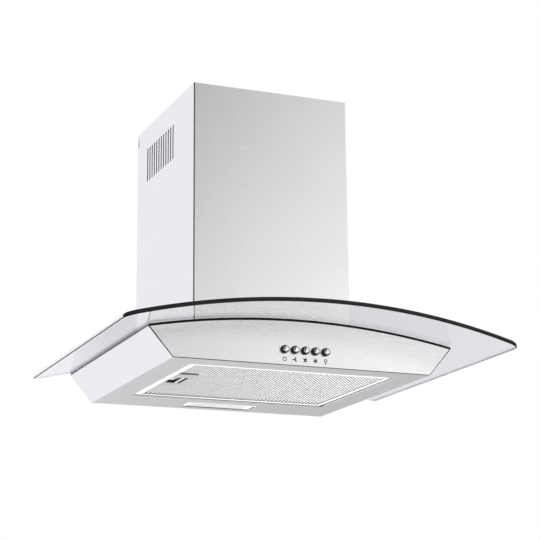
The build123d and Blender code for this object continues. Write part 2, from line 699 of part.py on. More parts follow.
# Three-armed bracket that stands on the scroll and carries the motor
with BuildPart() as motor_bracket:
    with BuildSketch(FAN_PLANE.offset(FRONT_BELL_X)):
        Circle(STATOR_RADIUS)
        with PolarLocations(SPIDER_REACH / 2, 3, start_angle=30):
            Rectangle(SPIDER_REACH, SPIDER_ARM)
        Circle(BELL_RADIUS + NUT_FIT, mode=Mode.SUBTRACT)
        with PolarLocations(TIE_RADIUS, 3, start_angle=90):
            Circle(TIE_BOLT / 2 + NUT_FIT, mode=Mode.SUBTRACT)
    extrude(amount=SPIDER_THICK)
    with BuildSketch(FAN_PLANE.offset(FRONT_BELL_X)):
        with PolarLocations(SPIDER_REACH - SPIDER_ARM / 2, 3, start_angle=30):
            Rectangle(SPIDER_ARM, SPIDER_ARM)
    extrude(amount=BRACKET_STAND)
keep(motor_bracket.part, "motor_bracket")

with BuildPart() as motor_bolts:
    with BuildSketch(FAN_PLANE.offset(STATOR_X)):
        with PolarLocations(TIE_RADIUS, 3, start_angle=90):
            Circle(TIE_BOLT / 2)
    extrude(amount=STATOR_LENGTH + SPIDER_THICK)
    for head_x, grow in ((STATOR_X, -1), (FRONT_BELL_X + SPIDER_THICK, 1)):
        with BuildSketch(FAN_PLANE.offset(head_x)):
            with PolarLocations(TIE_RADIUS, 3, start_angle=90):
                RegularPolygon(0.9 * TIE_BOLT, 6)
        extrude(amount=grow * TIE_BOLT / 2)
keep(motor_bolts.part, "motor_bolts")

# Electrics: control box with its lid, capacitor, lamp driver and cable gland
control_x = BLOWER_WIDTH / 2 - SHEET
control_y = BLOWER_BACK - BLOWER_CORNER - CONTROL_WALL - CONTROL_DEPTH / 2
with BuildPart() as control_box:
    with BuildSketch(Plane.YZ.offset(control_x)):
        with Locations((control_y, CONTROL_Z)):
            RectangleRounded(CONTROL_DEPTH, CONTROL_HEIGHT, 2 * CONTROL_WALL)
    extrude(amount=CONTROL_WALL - CONTROL_THICK)
    with BuildSketch(Plane.YZ.offset(control_x - CONTROL_WALL)):
        with Locations((control_y, CONTROL_Z)):
            Rectangle(CONTROL_DEPTH - 2 * CONTROL_WALL, CONTROL_HEIGHT - 2 * CONTROL_WALL)
    extrude(amount=-CONTROL_THICK, mode=Mode.SUBTRACT)
keep(control_box.part, "control_box")

with BuildPart() as control_lid:
    with BuildSketch(Plane.YZ.offset(control_x - CONTROL_THICK + CONTROL_WALL)):
        with Locations((control_y, CONTROL_Z)):
            RectangleRounded(CONTROL_DEPTH, CONTROL_HEIGHT, 2 * CONTROL_WALL)
    extrude(amount=-CONTROL_WALL)
keep(control_lid.part, "control_lid")

with BuildPart() as motor_capacitor:
    can_x = control_x - CAPACITOR_FOOT - CAPACITOR_RADIUS
    with BuildSketch(Plane.XZ.offset(-BLOWER_FRONT - RIM_FLANGE)):
        with Locations((can_x, CAPACITOR_Z)):
            Circle(CAPACITOR_RADIUS)
        with Locations(((can_x + control_x) / 2, CAPACITOR_Z)):
            Rectangle(control_x - can_x, CAPACITOR_RADIUS)
    extrude(amount=-CAPACITOR_LENGTH)
keep(motor_capacitor.part, "motor_capacitor")

with BuildPart() as lamp_driver:
    with BuildSketch(Plane.XY.offset(SHEET)):
        with Locations((DRIVER_X, DRIVER_Y)):
            RectangleRounded(DRIVER_WIDTH, DRIVER_DEPTH, 2 * CONTROL_WALL)
    extrude(amount=DRIVER_HEIGHT)
    chamfer(lamp_driver.faces().sort_by(Axis.Z)[-1].edges(), CONTROL_WALL / 2)
keep(lamp_driver.part, "lamp_driver")

with BuildPart() as cable_gland:
    with BuildSketch(Plane.XY.offset(BLOWER_TOP - SHEET - GLAND_HOLE / 4)):
        with Locations((GLAND_X, GLAND_Y)):
            RegularPolygon(0.75 * GLAND_HOLE, 6)
    extrude(amount=GLAND_HOLE / 4)
    with BuildSketch(Plane.XY.offset(BLOWER_TOP - SHEET)):
        with Locations((GLAND_X, GLAND_Y)):
            Circle(GLAND_HOLE / 2 - NUT_FIT)
    extrude(amount=SHEET)
    with BuildSketch(Plane.XY.offset(BLOWER_TOP)):
        with Locations((GLAND_X, GLAND_Y)):
            RegularPolygon(0.75 * GLAND_HOLE, 6)
    extrude(amount=GLAND_HOLE / 3)
    with BuildSketch(Plane.XY.offset(BLOWER_TOP + GLAND_HOLE / 3)):
        with Locations((GLAND_X, GLAND_Y)):
            Circle(0.6 * GLAND_HOLE)
    extrude(amount=GLAND_HOLE / 2)
    fillet(cable_gland.edges().filter_by(GeomType.CIRCLE).sort_by(Axis.Z)[-1], GLAND_HOLE / 6)
    with BuildSketch():
        with Locations((GLAND_X, GLAND_Y)):
            Circle(GLAND_HOLE / 4)
    extrude(amount=2 * BLOWER_TOP, mode=Mode.SUBTRACT)
keep(cable_gland.part, "cable_gland")

# Duct collar: a flat ring screwed to the lid, a tube for the duct, and a seat for the two flaps
collar_bore = COLLAR_RADIUS - COLLAR_WALL
seat_outer = collar_bore - SEAT_FIT
seat_inner = seat_outer - SEAT_WALL
tube_foot = BLOWER_TOP + COLLAR_BASE
with BuildPart() as collar_flange:
    with BuildSketch(Plane.XY.offset(BLOWER_TOP)):
        with Locations((0, COLLAR_Y)):
            Circle(COLLAR_FLANGE)
            Circle(seat_inner, mode=Mode.SUBTRACT)
            with PolarLocations(COLLAR_SCREW_RADIUS, 4, start_angle=45):
                Circle(COLLAR_SCREW / 2 + NUT_FIT, mode=Mode.SUBTRACT)
    extrude(amount=COLLAR_BASE)
keep(collar_flange.part, "collar_flange")

with BuildPart() as duct_collar:
    with BuildSketch(Plane.XY.offset(tube_foot)):
        with Locations((0, COLLAR_Y)):
            Circle(COLLAR_RADIUS)
            Circle(collar_bore, mode=Mode.SUBTRACT)
    extrude(amount=COLLAR_HEIGHT - COLLAR_BASE)
    with BuildSketch(Plane.XZ.offset(-COLLAR_Y)):
        with Locations((0, FLAP_Z)):
            Circle(FLAP_PIN / 2)
    extrude(amount=COLLAR_RADIUS, both=True, mode=Mode.SUBTRACT)
keep(duct_collar.part, "duct_collar")

with BuildPart() as flap_seat:
    seat_top = FLAP_Z - FLAP_THICK / 2
    with BuildSketch(Plane.XY.offset(tube_foot)):
        with Locations((0, COLLAR_Y)):
            Circle(seat_outer)
            Circle(seat_inner, mode=Mode.SUBTRACT)
    extrude(amount=seat_top - tube_foot)
    with BuildSketch(Plane.XY.offset(seat_top)):
        with Locations((0, COLLAR_Y)):
            Circle(seat_outer)
            Circle(collar_bore - FLAP_LEDGE, mode=Mode.SUBTRACT)
    extrude(amount=-SEAT_WALL)
    with BuildSketch(Plane.XZ.offset(-COLLAR_Y)):
        with Locations((0, FLAP_Z)):
            Circle(FLAP_PIN / 2)
    extrude(amount=COLLAR_RADIUS, both=True, mode=Mode.SUBTRACT)
keep(flap_seat.part, "flap_seat")

with BuildPart() as collar_screws:
    for z, radius, length in (
        (BLOWER_TOP + COLLAR_BASE, COLLAR_SCREW, COLLAR_BASE),
        (BLOWER_TOP - 3 * COLLAR_BASE, COLLAR_SCREW / 2, 4 * COLLAR_BASE),
    ):
        with BuildSketch(Plane.XY.offset(z)):
            with Locations((0, COLLAR_Y)):
                with PolarLocations(COLLAR_SCREW_RADIUS, 4, start_angle=45):
                    Circle(radius)
        extrude(amount=length)
keep(collar_screws.part, "collar_screws")

with BuildPart() as flap_pin:
    with BuildSketch(Plane.XZ.offset(-COLLAR_Y)):
        with Locations((0, FLAP_Z)):
            Circle(FLAP_PIN / 2)
    extrude(amount=COLLAR_RADIUS - COLLAR_WALL / 4, both=True)
keep(flap_pin.part, "flap_pin")

# Two half-round flaps whose knuckles take turns along the pin
knuckle_pitch = KNUCKLE_LENGTH + KNUCKLE_GAP
flap_root = FLAP_KNUCKLE + KNUCKLE_GAP
for flap_name, side, turns in (("left", -1, (-1.5, 0.5)), ("right", 1, (-0.5, 1.5))):
    with BuildPart() as flap:
        with BuildSketch(Plane.XY.offset(FLAP_Z - FLAP_THICK / 2)):
            with Locations((0, COLLAR_Y)):
                Circle(collar_bore - FLAP_EDGE_GAP)
            with Locations((side * (flap_root + COLLAR_RADIUS / 2), COLLAR_Y)):
                Rectangle(COLLAR_RADIUS, 2 * COLLAR_RADIUS, mode=Mode.INTERSECT)
            for turn in turns:
                with Locations((side * flap_root / 2, COLLAR_Y + turn * knuckle_pitch)):
                    Rectangle(flap_root + FLAP_THICK, KNUCKLE_LENGTH)
        extrude(amount=FLAP_THICK)
        for turn in turns:
            with BuildSketch(Plane.XZ.offset(-COLLAR_Y - turn * knuckle_pitch)):
                with Locations((0, FLAP_Z)):
                    Circle(FLAP_KNUCKLE)
            extrude(amount=KNUCKLE_LENGTH / 2, both=True)
        with BuildSketch(Plane.XZ.offset(-COLLAR_Y)):
            with Locations((0, FLAP_Z)):
                Circle(FLAP_PIN / 2 + FLAP_FIT)
        extrude(amount=COLLAR_RADIUS, both=True, mode=Mode.SUBTRACT)
    keep(flap.part, f"flap_{flap_name}")


def cover_face(width, depth, back):
    """Plan of a three-sided cover with return flanges along the wall."""
    inset = width / 2 - CHIMNEY_RETURN
    with BuildSketch() as plan:
        with BuildLine():
            Polyline(
                (-inset, back),
                (-width / 2, back),
                (-width / 2, back - depth),
                (width / 2, back - depth),
                (width / 2, back),
                (inset, back),
            )
            offset(amount=SHEET, side=Side.LEFT, kind=Kind.INTERSECTION)
        make_face()
    return plan.sketch


# Outer chimney cover standing on the glass, inner cover sliding up inside it
step = SHEET + TELESCOPE_GAP
inner_width = CHIMNEY_WIDTH - 2 * step
inner_depth = CHIMNEY_DEPTH - 2 * step
for cover_name, width, depth, back, top in (
    ("chimney_outer", CHIMNEY_WIDTH, CHIMNEY_DEPTH, 0, CHIMNEY_TOP),
    ("chimney_inner", inner_width, inner_depth, -step, CHIMNEY_TOP - INNER_TOP_STEP),
):
    with BuildPart() as cover:
        with BuildSketch():
            add(cover_face(width, depth, back))
        extrude(amount=top)
        corners = [
            e
            for e in cover.edges().filter_by(Axis.Z)
            if abs(abs(e.center().X) - width / 2) < SHEET / 10 and e.center().Y < back - depth / 2
        ]
        fillet(corners, BEND)
        seat_radius = GLASS_TOP_R + CHIMNEY_SEAT_GAP
        add(
            arch_sheet(seat_radius - GLASS_WIDTH, seat_radius, GLASS_WIDTH / 2, -GLASS_DEPTH, SHEET),
            mode=Mode.SUBTRACT,
        )
        with BuildSketch(Plane.YZ):
            with Locations((VENT_CENTRE_Y, VENT_CENTRE_Z)):
                with GridLocations(VENT_PITCH, 1, VENT_COUNT, 1):
                    Rectangle(VENT_WIDTH, VENT_HEIGHT)
        extrude(amount=CHIMNEY_WIDTH, both=True, mode=Mode.SUBTRACT)
        for side in (-1, 1):
            with Locations((side * width / 2, -NOTCH_WIDTH / 2, NOTCH_CENTRE_Z)):
                Box(2.5 * SHEET, NOTCH_WIDTH, NOTCH_HEIGHT, mode=Mode.SUBTRACT)
    keep(cover.part, cover_name)

# Wall plate between the outer cover's flanges
with BuildPart() as lower_wall_bracket:
    with BuildSketch(Plane.XZ):
        with Locations((0, LOWER_STRAP_Z)):
            Rectangle(CHIMNEY_WIDTH - 2 * CHIMNEY_RETURN - 2 * STRAP_FIT, STRAP_HEIGHT)
            with GridLocations(STRAP_HOLE_SPACING, 1, 2, 1):
                Circle(STRAP_HOLE / 2, mode=Mode.SUBTRACT)
    extrude(amount=SHEET)
keep(lower_wall_bracket.part, "lower_wall_bracket")

# Bracket inside the top of the inner cover, with spacers that reach the wall
with BuildPart() as upper_wall_bracket:
    plate_back = step + SHEET + STRAP_FIT
    arm_half = inner_width / 2 - SHEET
    with BuildSketch(Plane.XY.offset(UPPER_STRAP_Z - STRAP_HEIGHT / 2)):
        with Locations((0, -plate_back - STRAP_ARM / 2)):
            Rectangle(2 * arm_half, STRAP_ARM)
        with Locations((0, -plate_back - STRAP_ARM / 2 - WALL_STRAP)):
            Rectangle(2 * (arm_half - WALL_STRAP), STRAP_ARM, mode=Mode.SUBTRACT)
    extrude(amount=STRAP_HEIGHT)
    with BuildSketch(Plane.XZ):
        with Locations((0, UPPER_STRAP_Z)):
            with GridLocations(STRAP_HOLE_SPACING, 1, 2, 1):
                Circle(STRAP_SPACER / 2)
    extrude(amount=plate_back + WALL_STRAP)
    with BuildSketch(Plane.XZ):
        with Locations((0, UPPER_STRAP_Z)):
            with GridLocations(STRAP_HOLE_SPACING, 1, 2, 1):
                Circle(STRAP_HOLE / 2)
    extrude(amount=STRAP_ARM, mode=Mode.SUBTRACT)
keep(upper_wall_bracket.part, "upper_wall_bracket")

# Push buttons and the switch block behind them
cap_length = BUTTON_STAND + SHEET + BUTTON_TAIL
for place, button_name in enumerate(("off", "low", "medium", "high", "light")):
    button_x = (place - (BUTTON_COUNT - 1) / 2) * BUTTON_PITCH
    with BuildPart() as button:
        with BuildSketch(Plane.XZ.offset(BUTTON_FRONT)):
            with Locations((button_x, BUTTON_Z)):
                Circle(BUTTON_DIAMETER / 2)
        extrude(amount=-cap_length)
        fillet(button.edges().sort_by(Axis.Y)[0], BUTTON_ROUND)
        with BuildSketch(Plane.XZ.offset(BUTTON_FRONT - cap_length)):
            with Locations((button_x, BUTTON_Z)):
                Circle(BUTTON_STEM / 2)
        extrude(amount=-STEM_LENGTH)
    keep(button.part, f"button_{button_name}")

with BuildPart() as switch_block:
    with BuildSketch(Plane.XZ.offset(-BODY_FRONT)):
        with Locations((0, BUTTON_Z)):
            RectangleRounded(SWITCH_WIDTH, SWITCH_HEIGHT, 2 * STEM_FIT + BEND)
    extrude(amount=-SWITCH_DEPTH)
    for hole_radius, hole_depth in (
        (BUTTON_DIAMETER / 2 + BUTTON_GAP, BUTTON_TAIL + BUTTON_TRAVEL + STOP_GAP),
        (BUTTON_STEM / 2 + STEM_FIT, BUTTON_TAIL + STEM_LENGTH + BUTTON_TRAVEL + STOP_GAP),
    ):
        with BuildSketch(Plane.XZ.offset(-BODY_FRONT)):
            with Locations((0, BUTTON_Z)):
                with GridLocations(BUTTON_PITCH, 1, BUTTON_COUNT, 1):
                    Circle(hole_radius)
        extrude(amount=-hole_depth, mode=Mode.SUBTRACT)
keep(switch_block.part, "switch_block")

# Filter frame: channel section, rolled right edge, two tabs on that edge
pack_width = FILTER_WIDTH - 2 * FILTER_GROOVE
pack_depth = FILTER_DEPTH - 2 * FILTER_GROOVE
latch_left = -FILTER_WIDTH / 2 + FILTER_BORDER
with BuildPart() as filter_frame:
    with BuildSketch(Plane.XY.offset(FILTER_RECESS)):
        with Locations((0, FILTER_Y)):
            Rectangle(FILTER_WIDTH, FILTER_DEPTH)
            Rectangle(
                FILTER_WIDTH - 2 * FILTER_BORDER, FILTER_DEPTH - 2 * FILTER_BORDER, mode=Mode.SUBTRACT
            )
    extrude(amount=FILTER_HEIGHT)
    fillet(filter_frame.edges().filter_by(Axis.Y).group_by(Axis.X)[-1], FILTER_HEIGHT / 2 - SHEET / 100)
    with BuildSketch(Plane.XY.offset(FILTER_RECESS + FILTER_SKIN)):
        with Locations((0, FILTER_Y)):
            Rectangle(pack_width, pack_depth)
    extrude(amount=FILTER_HEIGHT - 2 * FILTER_SKIN, mode=Mode.SUBTRACT)
    with Locations((latch_left, LATCH_Y, tongue_mid)):
        Box(
            3 * FILTER_BORDER,
            TONGUE_WIDTH + 2 * SLIDE_FIT,
            TONGUE_THICK + 2 * SLIDE_FIT,
            mode=Mode.SUBTRACT,
        )
    tab_x = FILTER_WIDTH / 2 - SHEET / 2
    for tab_y in (FILTER_Y - TAB_SPACING / 2, FILTER_Y + TAB_SPACING / 2):
        with Locations((tab_x, tab_y, filter_mid)):
            Box(
                TAB_REACH + SHEET / 2,
                TAB_WIDTH,
                TAB_THICK,
                align=(Align.MIN, Align.CENTER, Align.CENTER),
            )
keep(filter_frame.part, "filter_frame")

# Filter pack: two face sheets and a corrugated core between them, cut out for the latch case
sheet_low = FILTER_RECESS + FILTER_SKIN
sheet_high = filter_top - FILTER_SKIN - FACE_SHEET
sheet_width = pack_width - 2 * PACK_FIT
sheet_depth = pack_depth - 2 * PACK_FIT
latch_cut_x = latch_left + LATCH_WIDTH / 2 + PACK_FIT - FILTER_BORDER / 2
latch_cut_width = LATCH_WIDTH + FILTER_BORDER
latch_cut_length = LATCH_LENGTH + 2 * PACK_FIT
for sheet_name, low in (("filter_face_sheet", sheet_low), ("filter_back_sheet", sheet_high)):
    with BuildPart() as face_sheet:
        with BuildSketch(Plane.XY.offset(low)):
            with Locations((0, FILTER_Y)):
                Rectangle(sheet_width, sheet_depth)
            with Locations((latch_cut_x, LATCH_Y)):
                Rectangle(latch_cut_width, latch_cut_length, mode=Mode.SUBTRACT)
        extrude(amount=FACE_SHEET)
    keep(face_sheet.part, sheet_name)

core_low = sheet_low + FACE_SHEET
core_high = sheet_high - 2 * FACE_SHEET
core_depth = sheet_depth - 4 * FACE_SHEET
wave = core_depth / (2 * CORE_WAVES)
with BuildPart() as filter_core:
    with BuildSketch(Plane.YZ.offset(-sheet_width / 2)):
        with BuildLine():
            Polyline(
                *[
                    (FILTER_Y - core_depth / 2 + wave * place, (core_low, core_high)[place % 2])
                    for place in range(2 * CORE_WAVES + 1)
                ]
            )
            offset(amount=FACE_SHEET, side=Side.LEFT, kind=Kind.INTERSECTION)
        make_face()
    extrude(amount=sheet_width)
    with BuildSketch():
        with Locations((latch_cut_x, LATCH_Y)):
            Rectangle(latch_cut_width, latch_cut_length)
    extrude(amount=filter_top, mode=Mode.SUBTRACT)
keep(filter_core.part, "filter_core")

# Latch case with its finger recess, and the slider that runs in it
case_low = FILTER_RECESS - LATCH_PROUD
case_height = filter_top - FILTER_SKIN / 2 - case_low
with BuildPart() as latch_case:
    with BuildSketch(Plane.XY.offset(case_low)):
        with Locations((latch_left + LATCH_WIDTH / 2, LATCH_Y)):
            Rectangle(LATCH_WIDTH, LATCH_LENGTH)
    extrude(amount=case_height)
    with BuildSketch(Plane.XY.offset(case_low + LATCH_SKIN)):
        with Locations((latch_left + LATCH_WIDTH / 2, LATCH_Y)):
            Rectangle(LATCH_WIDTH - 2 * LATCH_SKIN, LATCH_LENGTH - 2 * LATCH_SKIN)
    extrude(amount=case_height - 2 * LATCH_SKIN, mode=Mode.SUBTRACT)
    with BuildSketch():
        with Locations((latch_left + LATCH_SKIN + RECESS_WIDTH / 2, LATCH_Y)):
            Rectangle(RECESS_WIDTH, RECESS_LENGTH)
    extrude(amount=case_low + LATCH_SKIN, mode=Mode.SUBTRACT)
    with Locations((latch_left, LATCH_Y, tongue_mid)):
        Box(
            3 * LATCH_SKIN,
            TONGUE_WIDTH + 2 * SLIDE_FIT,
            TONGUE_THICK + 2 * SLIDE_FIT,
            mode=Mode.SUBTRACT,
        )
keep(latch_case.part, "latch_case")

plate_start = latch_left + LATCH_SKIN + LATCH_THROW + TONGUE_SHY
tongue_tip = -OPENING_WIDTH / 2 + TONGUE_SHY
grip_end = latch_left + LATCH_SKIN + RECESS_WIDTH - GRIP_TRAVEL - TONGUE_SHY
with BuildPart() as latch_slider:
    with BuildSketch(Plane.XY.offset(tongue_low)):
        with Locations(((tongue_tip + plate_start) / 2, LATCH_Y)):
            Rectangle(plate_start - tongue_tip, TONGUE_WIDTH)
        with Locations(((plate_start + grip_end + GRIP_THICK) / 2, LATCH_Y)):
            Rectangle(grip_end + GRIP_THICK - plate_start, RECESS_LENGTH - 2 * GRIP_THICK / 2)
    extrude(amount=TONGUE_THICK)
    with BuildSketch(Plane.XY.offset(case_low + SLIDE_FIT)):
        with Locations((grip_end - GRIP_THICK / 2, LATCH_Y)):
            Rectangle(GRIP_THICK, RECESS_LENGTH - GRIP_THICK)
    extrude(amount=tongue_low - case_low - SLIDE_FIT)
keep(latch_slider.part, "latch_slider")

# Lamp: lens in the underside, housing above it, LED board and chips
lens_flange = LAMP_PROUD + 2 * SHEET
case_wall_x = LAMP_WIDTH + 2 * (lens_flange + LAMP_FIT)
case_wall_y = LAMP_DEPTH + 2 * (lens_flange + LAMP_FIT)
with BuildPart() as lamp_lens:
    with BuildSketch(Plane.XY.offset(-LAMP_PROUD)):
        with Locations((0, LAMP_Y)):
            RectangleRounded(LAMP_WIDTH, LAMP_DEPTH, BEND)
    extrude(amount=LAMP_PROUD + SHEET)
    chamfer(lamp_lens.faces().sort_by(Axis.Z)[0].edges(), LAMP_PROUD * 0.8)
    with BuildSketch(Plane.XY.offset(SHEET)):
        with Locations((0, LAMP_Y)):
            RectangleRounded(LAMP_WIDTH + 2 * lens_flange, LAMP_DEPTH + 2 * lens_flange, BEND)
    extrude(amount=LAMP_CASE_WALL)
keep(lamp_lens.part, "lamp_lens")

with BuildPart() as lamp_housing:
    with BuildSketch(Plane.XY.offset(SHEET)):
        with Locations((0, LAMP_Y)):
            RectangleRounded(case_wall_x + 2 * LAMP_CASE_WALL, case_wall_y + 2 * LAMP_CASE_WALL, 2 * BEND)
    extrude(amount=LAMP_CASE_HEIGHT)
    with BuildSketch(Plane.XY.offset(SHEET)):
        with Locations((0, LAMP_Y)):
            Rectangle(case_wall_x, case_wall_y)
    extrude(amount=LAMP_CASE_HEIGHT - LAMP_CASE_WALL, mode=Mode.SUBTRACT)
keep(lamp_housing.part, "lamp_housing")

board_top = SHEET + LAMP_CASE_HEIGHT - LAMP_CASE_WALL
with BuildPart() as led_board:
    with BuildSketch(Plane.XY.offset(board_top)):
        with Locations((0, LAMP_Y)):
            Rectangle(LAMP_WIDTH, LAMP_DEPTH / 2)
    extrude(amount=-LAMP_CASE_WALL)
keep(led_board.part, "led_board")

with BuildPart() as led_chips:
    with BuildSketch(Plane.XY.offset(board_top - LAMP_CASE_WALL)):
        with Locations((0, LAMP_Y)):
            with GridLocations(LAMP_WIDTH / LED_COUNT, 1, LED_COUNT, 1):
                Rectangle(LED_SIZE, LED_SIZE)
    extrude(amount=-LED_SIZE / 5)
keep(led_chips.part, "led_chips")
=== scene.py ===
"""Looks of a wall-mounted range hood with an arched glass canopy.

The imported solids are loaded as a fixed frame, in metres: X to the right, Y towards
the wall, Z up from the underside of the steel body.  Each sub-assembly is a class
that builds the pieces the solids leave plain and gives every node its finish.
"""

import logging
from dataclasses import dataclass
from enum import Enum
from math import asin, cos, pi, radians, sin, sqrt

import bmesh
import bpy
from mathutils import Matrix, Vector


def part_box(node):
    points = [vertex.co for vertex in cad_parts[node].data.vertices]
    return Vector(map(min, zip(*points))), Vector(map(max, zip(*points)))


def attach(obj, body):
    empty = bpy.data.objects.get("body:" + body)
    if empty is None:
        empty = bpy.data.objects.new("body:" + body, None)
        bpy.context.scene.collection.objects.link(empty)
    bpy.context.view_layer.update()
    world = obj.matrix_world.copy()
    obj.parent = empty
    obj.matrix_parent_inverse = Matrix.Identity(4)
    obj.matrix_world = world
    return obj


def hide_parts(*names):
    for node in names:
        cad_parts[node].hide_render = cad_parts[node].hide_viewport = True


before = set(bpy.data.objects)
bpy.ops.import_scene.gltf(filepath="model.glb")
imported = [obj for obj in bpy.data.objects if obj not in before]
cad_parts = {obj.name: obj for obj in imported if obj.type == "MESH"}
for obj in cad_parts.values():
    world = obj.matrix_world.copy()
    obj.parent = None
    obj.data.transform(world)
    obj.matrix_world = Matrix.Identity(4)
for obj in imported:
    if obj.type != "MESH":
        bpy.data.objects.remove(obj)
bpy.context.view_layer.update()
LOG = logging.getLogger("range_hood")

Colour = tuple[float, float, float]
Point = tuple[float, float, float]
Pair = tuple[float, float]
Mesh = bmesh.types.BMesh
Face = bmesh.types.BMFace
Socket = bpy.types.NodeSocket
Value = Socket | Vector | Colour | float
MADE: dict[str, bpy.types.Material] = {}

# Places of the colour sockets on a Mix node
MIX_FIRST = 6
MIX_SECOND = 7
MIX_RESULT = 2
# Upright share of a normal at which a face begins to count as level, and fully does
LEVEL_FACES = (0.75, 0.9)
# Distance below which two points are one
MERGE = 1e-6
# Facets across an eased edge of a block
EASE_STEPS = 2

ORIGIN = (0.0, 0.0, 0.0)
ACROSS = (1.0, 0.0, 0.0)
INWARDS = (0.0, 1.0, 0.0)
UPWARDS = (0.0, 0.0, 1.0)


class DarkFaces(Enum):
    """Which faces of a folded sheet get painted shade or a painted dark reflection."""

    NONE = "none"
    # Painted shade on the fascia's sideways edges.
    SIDE_EDGES = "sheared edges that look sideways"
    # Painted shade on the walls of the shell's openings.
    CROSS_WALLS = "walls of openings that look forwards or back"
    # Painted shade in the chimney's slots, and a painted dark reflection along its left front fold.
    SLOTS_AND_FOLD = "walls of the slots in the side sheets, and the left front fold"


class SignKind(Enum):
    """The printed sign under each push button; a fan's value is its number of blades."""

    RING = 0
    BULB = 1
    THREE_BLADES = 3
    FOUR_BLADES = 4
    FIVE_BLADES = 5


def toned(tint: Colour, share: float, lift: float = 0.0) -> Colour:
    """A tint times a share, raised by a little and kept below white."""
    return tuple(min(1.0, share * part + lift) for part in tint)


class NodeGraph:
    """A node tree with the few links that the finishes and the room share."""

    def __init__(self, tree: bpy.types.NodeTree) -> None:
        """Take hold of a tree's nodes and links."""
        self.nodes = tree.nodes
        self.links = tree.links

    def feed(self, target: Socket, value: Value) -> None:
        """Link a socket to an input, or set the input to a constant.

        Args:
            target: Input to feed.
            value: Socket to link, or constant to set.
        """
        if isinstance(value, Socket):
            self.links.new(value, target)
        else:
            target.default_value = (*value, 1.0) if target.type == "RGBA" else value

    def add(self, kind: str, *values: Value, **settings: object) -> bpy.types.Node:
        """Add a node, set its own properties and feed its inputs.

        Args:
            kind: Blender's name of the node type, without its first word.
            values: Sockets or constants for its inputs, in their order.
            settings: Properties of the node.

        Returns:
            The new node.
        """
        node = self.nodes.new("ShaderNode" + kind)
        for name, value in settings.items():
            setattr(node, name, value)
        for target, value in zip(node.inputs, values):
            self.feed(target, value)
        return node

    def math(self, operation: str, *values: Socket | float) -> Socket:
        """The result of a sum on one or two numbers."""
        return self.add("Math", *values, operation=operation).outputs[0]

    def vector(self, operation: str, *values: Value) -> bpy.types.NodeOutputs:
        """The outputs of a sum on vectors."""
        return self.add("VectorMath", *values, operation=operation).outputs

    def part(self, vector: Socket, axis: str) -> Socket:
        """One part of a vector."""
        return self.add("SeparateXYZ", vector).outputs[axis]

    def size(self, vector: Socket, axis: str) -> Socket:
        """One part of a vector, without its sign."""
        return self.math("ABSOLUTE", self.part(vector, axis))

    def spread(self, value: Socket, low: Socket | float, high: Socket | float,
               start: float = 0.3, end: float = 0.7) -> Socket:
        """Stretch part of a pattern's range to another range.

        Args:
            value: Pattern to stretch.
            low: Result at the start of the range.
            high: Result at the end of the range.
            start: Pattern value that gives low.
            end: Pattern value that gives high.

        Returns:
            The stretched value.
        """
        return self.add("MapRange", value, start, end, low, high).outputs["Result"]

    def blend(self, factor: Socket, first: Socket | Colour, second: Socket | Colour) -> Socket:
        """Mix two colours by a pattern.

        Args:
            factor: Pattern from 0 to 1.
            first: Colour at 0.
            second: Colour at 1.

        Returns:
            The mixed colour.
        """
        node = self.add("Mix", factor, data_type="RGBA")
        self.feed(node.inputs[MIX_FIRST], first)
        self.feed(node.inputs[MIX_SECOND], second)
        return node.outputs[MIX_RESULT]


class ShaderTree(NodeGraph):
    """A material that holds one Principled shader."""

    def __init__(self, name: str, **values: Colour | float) -> None:
        """Start the material and set constants on the shader's own sockets.

        Args:
            name: Name of the material.
            values: Socket names in lower case with underscores, and their values.
        """
        self.material = bpy.data.materials.new(name)
        self.material.use_nodes = True
        super().__init__(self.material.node_tree)
        self.shader = self.nodes["Principled BSDF"]
        self.coords = self.add("TexCoord").outputs
        for key, value in values.items():
            self.feed(self.shader.inputs[key.replace("_", " ").title().replace("Ior", "IOR")], value)

    def place(self, scale: Point) -> Socket:
        """Object coordinates, stretched for one pattern.

        Args:
            scale: Scale along each axis.

        Returns:
            The vector socket for a texture.
        """
        mapping = self.add("Mapping", self.coords["Object"])
        self.feed(mapping.inputs["Scale"], scale)
        return mapping.outputs["Vector"]

    def noise(self, scale: float, detail: float = 3.0, vector: Socket | None = None) -> Socket:
        """A noise pattern.

        Args:
            scale: Number of grains per metre of the given vector.
            detail: Octaves of the noise.
            vector: Where the pattern is read; plain object coordinates without it.

        Returns:
            The value socket of the noise.
        """
        node = self.add("TexNoise", self.coords["Object"] if vector is None else vector)
        self.feed(node.inputs["Scale"], scale)
        self.feed(node.inputs["Detail"], detail)
        return node.outputs["Fac"]

    def level_share(self) -> Socket:
        """1 on level faces and 0 on upright ones, from the piece's own normals."""
        return self.spread(self.size(self.coords["Normal"], "Z"), 0.0, 1.0, *LEVEL_FACES)

    def surface(self, colour: Socket, rough: Socket | float, height: Socket | None = None,
                relief: Pair = (0.0, 0.0)) -> bpy.types.Material:
        """Lead patterns into the base colour, the roughness and the relief.

        Args:
            colour: Colour of the surface.
            rough: Roughness of the surface.
            height: Pattern that raises the surface, if any.
            relief: Share of the relief that shows, and its height in metres.

        Returns:
            The finished material.
        """
        self.feed(self.shader.inputs["Base Color"], colour)
        self.feed(self.shader.inputs["Roughness"], rough)
        if height is not None:
            bump = self.add("Bump", *relief)
            self.feed(bump.inputs["Height"], height)
            self.feed(self.shader.inputs["Normal"], bump.outputs["Normal"])
        return self.material

    def overlay(self, share: Socket, other: bpy.types.Node) -> None:
        """Let another shader take over where a share is 1."""
        mix = self.add("MixShader", share, self.shader.outputs[0], other.outputs[0])
        self.feed(self.nodes["Material Output"].inputs["Surface"], mix.outputs[0])


